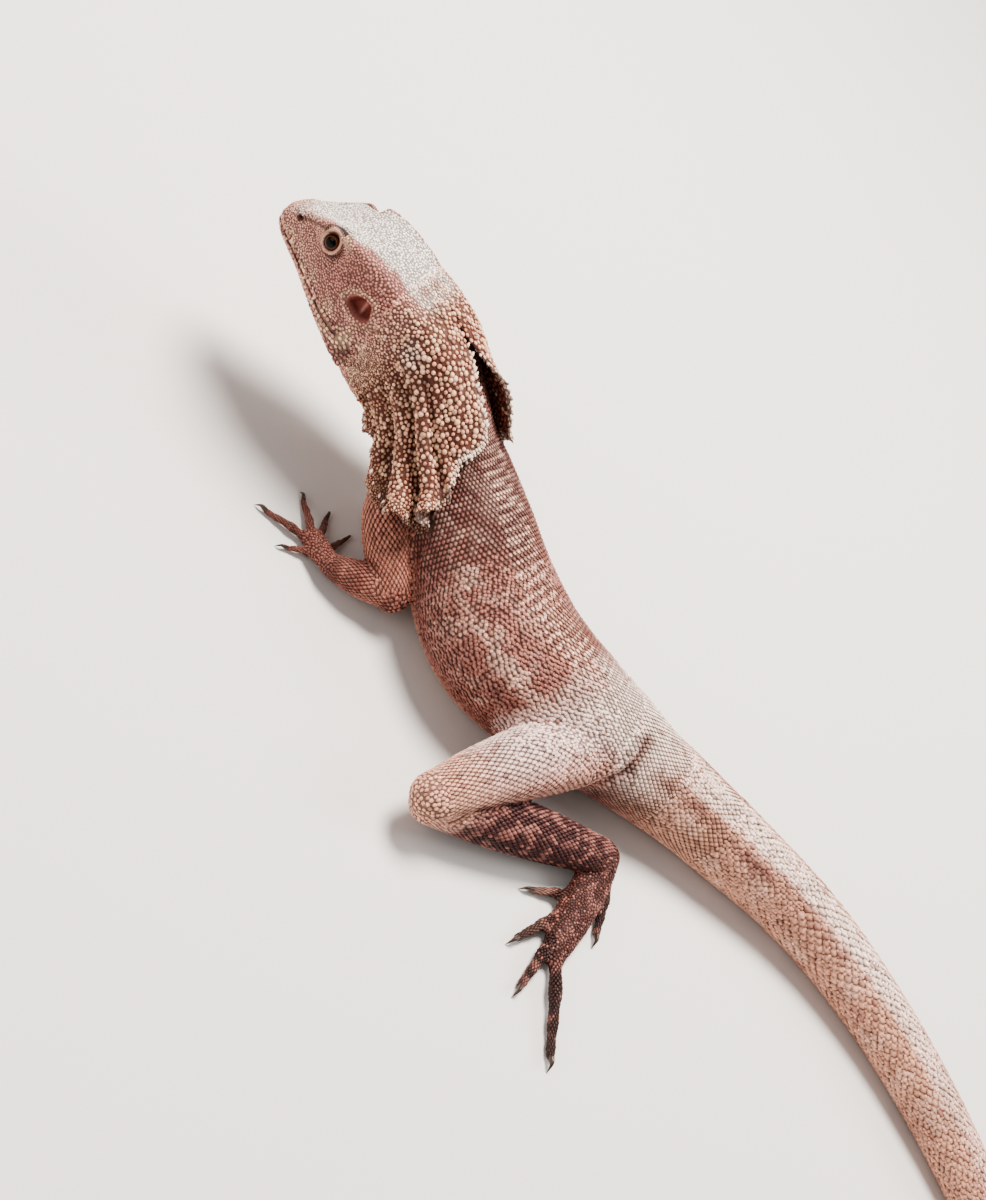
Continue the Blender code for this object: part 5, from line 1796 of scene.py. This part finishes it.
# %% Scales of the flesh that nothing would ever show are left out
inner_points = np.concatenate([sheet["inner"].reshape(-1, 3) for sheet in frills.values()])
inner_faces = np.concatenate([FRILL_QUADS, FRILL_QUADS + FRILL_INDEX.size])
sheet_tree = BVHTree.FromPolygons(inner_points.tolist(), inner_faces.tolist())
roots = {name: all_roots(name) for name in root_blocks[0]}
hidden = np.zeros(len(roots["place"]), bool)
for i, (place, up) in enumerate(zip(roots["place"], roots["up"])):
    if place[1] < 0:
        hidden[i] = sheet_tree.ray_cast(Vector(place), Vector(up), 2.6)[0] is not None
    hidden[i] |= place[2] < 0.9 and up[2] < -0.25
roots = {name: values[~hidden] for name, values in roots.items()}
print("hidden:", int(hidden.sum()), "left:", len(roots["place"]))

# %% Tones of the scales: the painted markings, with each scale a little different
def varied(colours, pale, pale_share, dark_share):
    count = len(colours)
    colours = colours * dice.uniform(0.78, 1.18, (count, 1))
    draw = dice.uniform(0, 1, count)
    coats = (pale, (draw < pale_share) * 0.7), (DARK_BROWN, (draw > 1 - dark_share) * 0.45)
    return np.clip(laid(colours, *coats), 0, 1)


tones = varied(paint_body(roots["place"]), FLANK_MID, 0.04, 0.05)
dark_leg = limb_weight(roots["place"], ("shin", "sole"), 1.2, 1.5)[0] * (roots["place"][:, 0] < 62)
flecks = (dice.uniform(0, 1, len(dark_leg)) < 0.1) & (dark_leg > 0.5)
lips = roots["kind"] == "plate"
brown = (CHEEK_BROWN, lips * dice.uniform(0.3, 0.8, len(lips)))
dark = (DARK_BROWN, (lips & (dice.uniform(0, 1, len(lips)) < 0.35)) * 0.5)
roots["tone"] = laid(tones, (SHIN_FLECK, flecks * 0.8), brown, dark)
print("toned:", len(tones), "scales")

# %% Beads on the frill: large and cream on its outer face, small and dark inside
FRILL_TRIANGLES = np.concatenate([FRILL_QUADS[:, [0, 1, 2]], FRILL_QUADS[:, [0, 2, 3]]])


def frill_roots(side_name, face_name, gap_of, rise, fill_share):
    sheet, outside = frills[side_name], face_name == "outer"
    grid = sheet[face_name]
    flat = {name: sheet[name].reshape(-1, *sheet[name].shape[2:]) for name in ("u", "v", "normal", "valley")}
    flat["lie"] = unit(np.gradient(grid, axis=0)).reshape(-1, 3)
    gaps = gap_of(*(flat[name][FRILL_TRIANGLES].mean(1) for name in ("u", "v")))
    shown_from = -0.2 if outside else 0.2
    triangles = np.where(flat["v"][FRILL_TRIANGLES].mean(1) > shown_from)[0]
    corners = grid.reshape(-1, 3)[FRILL_TRIANGLES[triangles]]
    places, faces, weights = scatter(corners, gaps[triangles], [])
    numbers = FRILL_TRIANGLES[triangles][faces]
    u, v, valley = (np.sum(flat[name][numbers] * weights, axis=1) for name in ("u", "v", "valley"))
    up, lie = (np.einsum("nc,ncx->nx", weights, flat[name][numbers]) for name in ("normal", "lie"))
    up = unit(up) * (1 if outside else -1)
    large = (dice.uniform(0, 1, len(u)) < 0.3) & outside & (v < 0.9)
    size = (gap_of(u, v) * fill_share)[:, None] * (1.0, 1.12, rise)
    size = size * (dice.uniform(0.76, 1.0, len(u)) + 0.3 * large)[:, None]
    if outside:
        colours = from_flesh(paint_outside(places, u, v, valley), places, v)
        colours = laid(colours, (FRILL_CREAM, 0.25 + 0.4 * large))
    else:
        colours = paint_inside(places, u, v)
    return {
        "place": places, "up": up, "lie": straightened(lie, up), "size": size,
        "tone": varied(colours, FRILL_CREAM, 0.05, 0.12), "chart": np.stack([u, np.clip(v, 0, 1)], 1),
    }


def outer_gaps(u, v):
    return 1.5 - 0.4 * ease(u, 0.35, 0.6) - 0.5 * ease(v, 0.88, 0.98) - 0.55 * (1 - ease(v, -0.05, 0.25))


def inner_gaps(u, v):
    return 1.5 - 0.5 * ease(v, 0.9, 1.0)


# %% Pointed scales along the frill's margin
TOOTH_SIZE, TOP_START = 2.6, 0.3


def margin_places():
    """Row and column of each margin scale, those of a place further in, and the scale's size."""
    for k in range(2 * TOP_TEETH):
        share, size = (k + 1) / (2 * TOP_TEETH), TOOTH_SIZE * (0.7 if k % 2 else 1.0)
        row = round(share * (FRILL_ROWS - 1))
        if share >= TOP_START:
            yield (row, 0), (row, 2), size
    for k in range(2 * HEM_TEETH):
        share, size = (k + 1) / (2 * HEM_TEETH), TOOTH_SIZE * (0.7 if k % 2 else 1.0) * 0.75
        column = round(share * (FRILL_COLUMNS - 1))
        yield (FRILL_ROWS - 1, column), (FRILL_ROWS - 3, column), size


def margin_teeth(side_name):
    """A pale pointed scale on each tooth of the frill's margin, and a smaller one between two."""
    sheet = frills[side_name]
    at, inward, sizes = zip(*margin_places())
    at, inward, sizes = tuple(np.transpose(at)), tuple(np.transpose(inward)), np.array(sizes)[:, None]
    outward, up = sheet["outer"][at] - sheet["outer"][inward], sheet["normal"][at]
    tones = varied(np.tile(FRILL_EDGE, (len(sizes), 1)), FRILL_EDGE, 0, 0.05)
    return {
        "place": sheet["outer"][at] + unit(outward) * 0.25 * sizes, "up": up,
        "lie": straightened(outward, up), "size": sizes * (0.75, 1, 0.42),
        "tone": tones, "chart": np.stack([sheet["u"][at], np.clip(sheet["v"][at], 0, 1)], 1),
    }


frill_blocks = {}
for side_name in frills:
    frill_blocks[side_name] = {
        "keeled": margin_teeth(side_name),
        "bead": frill_roots(side_name, "outer", outer_gaps, 0.36, 1.22),
        "granule": frill_roots(side_name, "inner", inner_gaps, 0.24, 1.25),
    }
    print("frill", side_name, {kind: len(block["place"]) for kind, block in frill_blocks[side_name].items()})

# %% [markdown]
# ## From roots to scales
# A Geometry Nodes tree sets a copy of the shape on every root, turns it to the way out and the lie, sizes
# it with a little chance, and makes the copies real. It also writes a UV map in which each scale is one
# small patch at its root's place on an unwrap of the body, so that a bake keeps the colour of each scale
# apart.

# %% The tree, with its inputs named
TREE_INPUTS = (
    ("Roots", "NodeSocketGeometry"), ("Scale shape", "NodeSocketObject"), ("Patch across", "NodeSocketFloat"),
    ("Size variation", "NodeSocketFloat"), ("Seed", "NodeSocketInt"), ("Finish", "NodeSocketMaterial"),
)
PATCH_ACROSS, SIZE_VARIATION = 0.003, 0.1


def scales_tree():
    tree = bpy.data.node_groups.new("scales on roots", "GeometryNodeTree")
    for name, kind in TREE_INPUTS:
        tree.interface.new_socket(name, in_out="INPUT", socket_type=kind)
    tree.interface.new_socket("Scales", in_out="OUTPUT", socket_type="NodeSocketGeometry")
    given = node(tree, "NodeGroupInput").outputs

    def made(kind, output, inputs, **values):
        return node(tree, kind, inputs, **values).outputs[output]

    def named(name):
        return made("GeometryNodeInputNamedAttribute", "Attribute", {"Name": name}, data_type="FLOAT_VECTOR")

    align = "FunctionNodeAlignRotationToVector"
    out = made(align, "Rotation", {"Vector": named("up")}, axis="Z")
    turn = made(align, "Rotation", {"Rotation": out, "Vector": named("lie")}, axis="Y", pivot_axis="Z")
    around_one = {0: 1.0, 1: given["Size variation"]}
    least, most = (made("ShaderNodeMath", 0, around_one, operation=kind) for kind in ("SUBTRACT", "ADD"))
    limits = {2: least, 3: most, "Seed": given["Seed"]}
    chance = made("FunctionNodeRandomValue", 1, limits, data_type="FLOAT")
    size = made("ShaderNodeVectorMath", "Vector", {0: named("size"), "Scale": chance}, operation="SCALE")
    shape = made("GeometryNodeObjectInfo", "Geometry", {"Object": given["Scale shape"]})
    copies = {"Points": given["Roots"], "Instance": shape, "Rotation": turn, "Scale": size}
    grown = made("GeometryNodeInstanceOnPoints", "Instances", copies)
    grown = made("GeometryNodeRealizeInstances", "Geometry", {"Geometry": grown})
    patch = {0: named("local_place"), 1: given["Patch across"], 2: named("chart")}
    patch = made("ShaderNodeVectorMath", "Vector", patch, operation="MULTIPLY_ADD")
    baked = {"Geometry": grown, "Name": "OFBake", "Value": patch}
    grown = made("GeometryNodeStoreNamedAttribute", "Geometry", baked, data_type="FLOAT2", domain="CORNER")
    grown = made("GeometryNodeSetShadeSmooth", "Geometry", {"Geometry": grown})
    grown = made("GeometryNodeSetMaterial", "Geometry", {"Geometry": grown, "Material": given["Finish"]})
    node(tree, "NodeGroupOutput", {"Scales": grown})
    return tree


growth = scales_tree()
print("tree:", len(growth.nodes), "nodes")

# %% Which piece a root belongs to
PIECE_ENDS = {"tail_front": 215, "trunk_rear": 86, "trunk_front": 15}


def piece_names(points):
    names = np.full(len(points), "tail_rear", object)
    for piece, end in PIECE_ENDS.items():
        names[points[:, 1] < end] = piece
    best = np.full(len(points), 1.5)
    for key in LIMB_SAMPLES:
        ratio, share, _ = limb_ratio(points, key)
        start = 0.3 if key[1] in ("thigh", "upper_arm") else -1
        chosen = (ratio < best) & (share > start)
        names[chosen] = ("arm_" if key[1] in LIMB_PARTS["arm"] else "leg_") + key[0]
        best = np.where(chosen, ratio, best)
    names[head_place(points)[0] < 60] = "head"
    return names


# %% A root's place on its piece's unwrap
def spread(values):
    return 0.01 + 0.98 * (values - values.min()) / max(np.ptp(values), 1e-6)


def limb_chart(points, side_name, segments):
    """Turn round a limb and the way along it, with a strip for each of its parts."""
    best, chart = np.full(len(points), 99.0), np.zeros((len(points), 2))
    for strip, segment in enumerate(segments):
        centres, _ = LIMB_SAMPLES[side_name, segment]
        ratio, _, index = limb_ratio(points, (side_name, segment))
        away, way = points - centres[index], unit(np.gradient(centres, axis=0))[index]
        side, up = side_and_up(way)
        turn = np.arctan2(np.sum(away * side, axis=1), np.sum(away * up, axis=1)) / math.tau + 0.5
        step = np.linalg.norm(centres[-1] - centres[0]) / len(centres)
        along = (index + 0.5 + np.clip(np.sum(away * way, axis=1) / step, -0.5, 0.5)) / len(centres)
        here = np.stack([(strip + 0.04 + 0.92 * turn) / 4, 0.01 + 0.98 * along], 1)
        chart = np.where((ratio < best)[:, None], here, chart)
        best = np.minimum(ratio, best)
    return chart


def unwrapped(points, piece):
    """Turn round the piece's axis and the way along it."""
    if piece.startswith(("arm", "leg")):
        kind, side_name = piece.split("_")
        return limb_chart(points, side_name, LIMB_PARTS[kind])
    turn, along = trunk_turn(points), points[:, 1]
    if piece == "head":
        along, across, height = head_place(points)
        turn = np.arctan2(across, height + 3)
    return np.stack([spread(turn), spread(along)], 1)


# %% Growing a piece
COAT_LOWEST, FRILL_SEED = 0.03 * MM, 40
coat = {}


def grow(name, kind, roots, finish, seed):
    made = mesh_object(name, roots["place"] * MM, [])
    chart = np.pad(roots["chart"], ((0, 0), (0, 1)))
    kept = {"up": roots["up"], "lie": roots["lie"], "size": roots["size"] * MM, "chart": chart}
    for attribute, values in kept.items():
        set_attribute(made.data, attribute, values)
    set_tones(made.data, roots["tone"])
    modifier = made.modifiers.new("scales", "NODES")
    modifier.node_group = growth
    given = {item.name: item.identifier for item in growth.interface.items_tree if item.in_out == "INPUT"}
    modifier[given["Scale shape"]] = SHAPES[kind]
    modifier[given["Patch across"]] = PATCH_ACROSS
    modifier[given["Size variation"]] = SIZE_VARIATION
    modifier[given["Seed"]] = seed
    modifier[given["Finish"]] = finish
    apply_modifiers(made)
    for attribute in (*kept, "local_place"):
        made.data.attributes.remove(made.data.attributes[attribute])
    set_points(made.data, on_floor(points_of(made.data), COAT_LOWEST))
    coat[name] = made
    print(name, len(roots["place"]), "scales,", len(made.data.polygons), "triangles")


# %% Growing them all
names = piece_names(roots["place"])
for seed, piece in enumerate(sorted(set(names))):
    for kind in SHAPES:
        chosen = (names == piece) & (roots["kind"] == kind)
        if chosen.any():
            part = {name: values[chosen] for name, values in roots.items()}
            part["chart"] = unwrapped(part["place"], piece)
            grow(f"{piece}_{kind}", kind, part, scale_finish, seed)
for side_name, blocks in frill_blocks.items():
    for kind, block in blocks.items():
        grow(f"frill_{side_name}_{kind}", kind, block, bead_finish, FRILL_SEED)
for shape in SHAPES.values():
    bpy.data.objects.remove(shape)
print("coat:", sum(len(piece.data.polygons) for piece in coat.values()), "triangles in", len(coat), "pieces")

# %% [markdown]
# ## Into metres, and onto the frame
# The skin stands for every node of flesh, and the scales go with it. Eyes stand for their own nodes.

# %% Ride and replace
set_points(skin.data, points_of(skin.data) * MM)
FLESH_NODES = [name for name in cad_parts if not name.startswith("eye")]
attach(skin, "root")
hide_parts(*FLESH_NODES)
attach(claws, "root")
for name, piece in coat.items():
    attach(piece, "root")
for name, eye in eyes.items():
    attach(eye, "root")
    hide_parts(name)

# %% [markdown]
# ## Floor, light and camera
# A plain pale floor, a soft lamp nearly overhead, weaker ones from the front and from behind, and an even
# sky. The camera looks down at 42 degrees from the lizard's left, rolled so that the body climbs to the
# upper left.

# %% Floor
floor = mesh_object("floor", [(-4, -4, 0), (4, -4, 0), (4, 4, 0), (-4, 4, 0)], [(0, 1, 2, 3)])
paper, tree, shader = new_material("pale floor")
fill(tree, shader, {"Base Color": (0.78, 0.76, 0.74, 1), "Roughness": 0.9})
floor.data.materials.append(paper)

# %% Camera
CAMERA_ELEVATION = math.radians(42)
CAMERA_DISTANCE = 0.63218
CAMERA_TARGET = Vector((0, 0, 0.024))
backward = Vector((math.cos(CAMERA_ELEVATION), 0, math.sin(CAMERA_ELEVATION)))
level_up = Vector((-math.sin(CAMERA_ELEVATION), 0, math.cos(CAMERA_ELEVATION)))
forward = Vector((0, -1, 0))
camera_right = level_up * 0.8 - forward * 0.6
camera_up = forward * 0.8 + level_up * 0.6
camera = shown("camera", bpy.data.cameras.new("camera"))
camera.data.lens, camera.data.sensor_width = 55, 36
camera.data.clip_start, camera.data.clip_end = 0.01, 20
turn = Matrix((camera_right, camera_up, backward)).transposed().to_4x4()
camera.matrix_world = Matrix.Translation(CAMERA_TARGET + backward * CAMERA_DISTANCE) @ turn
bpy.context.scene.camera = camera
print("camera at", [round(x, 3) for x in camera.matrix_world.translation])

# %% Light: name, place, size, power and colour of each lamp
LAMPS = (
    ("key", (-0.34, -0.3, 1.15), 0.55, 34, (1.0, 0.94, 0.87)),
    ("fill", (1.0, -0.5, 0.6), 0.9, 5, (1.0, 0.96, 0.93)),
    ("back", (-0.7, 0.8, 0.7), 0.6, 8, (1.0, 0.97, 0.95)),
)
LAMPS_AIM = Vector((0, 0, 0.02))
for name, place, size, power, colour in LAMPS:
    lamp = bpy.data.lights.new(name, "AREA")
    lamp.shape, lamp.size, lamp.energy, lamp.color = "DISK", size, power, colour
    made = shown(name, lamp)
    made.location = place
    made.rotation_euler = (LAMPS_AIM - Vector(place)).to_track_quat("-Z", "Y").to_euler()
world = bpy.data.worlds.new("soft sky")
bpy.context.scene.world = world
world.use_nodes = True
sky = world.node_tree.nodes["Background"]
fill(world.node_tree, sky, {"Color": (1.0, 0.97, 0.95, 1), "Strength": 0.32})

# %% A little more contrast in the picture
bpy.context.scene.view_settings.look = "AgX - Medium High Contrast"
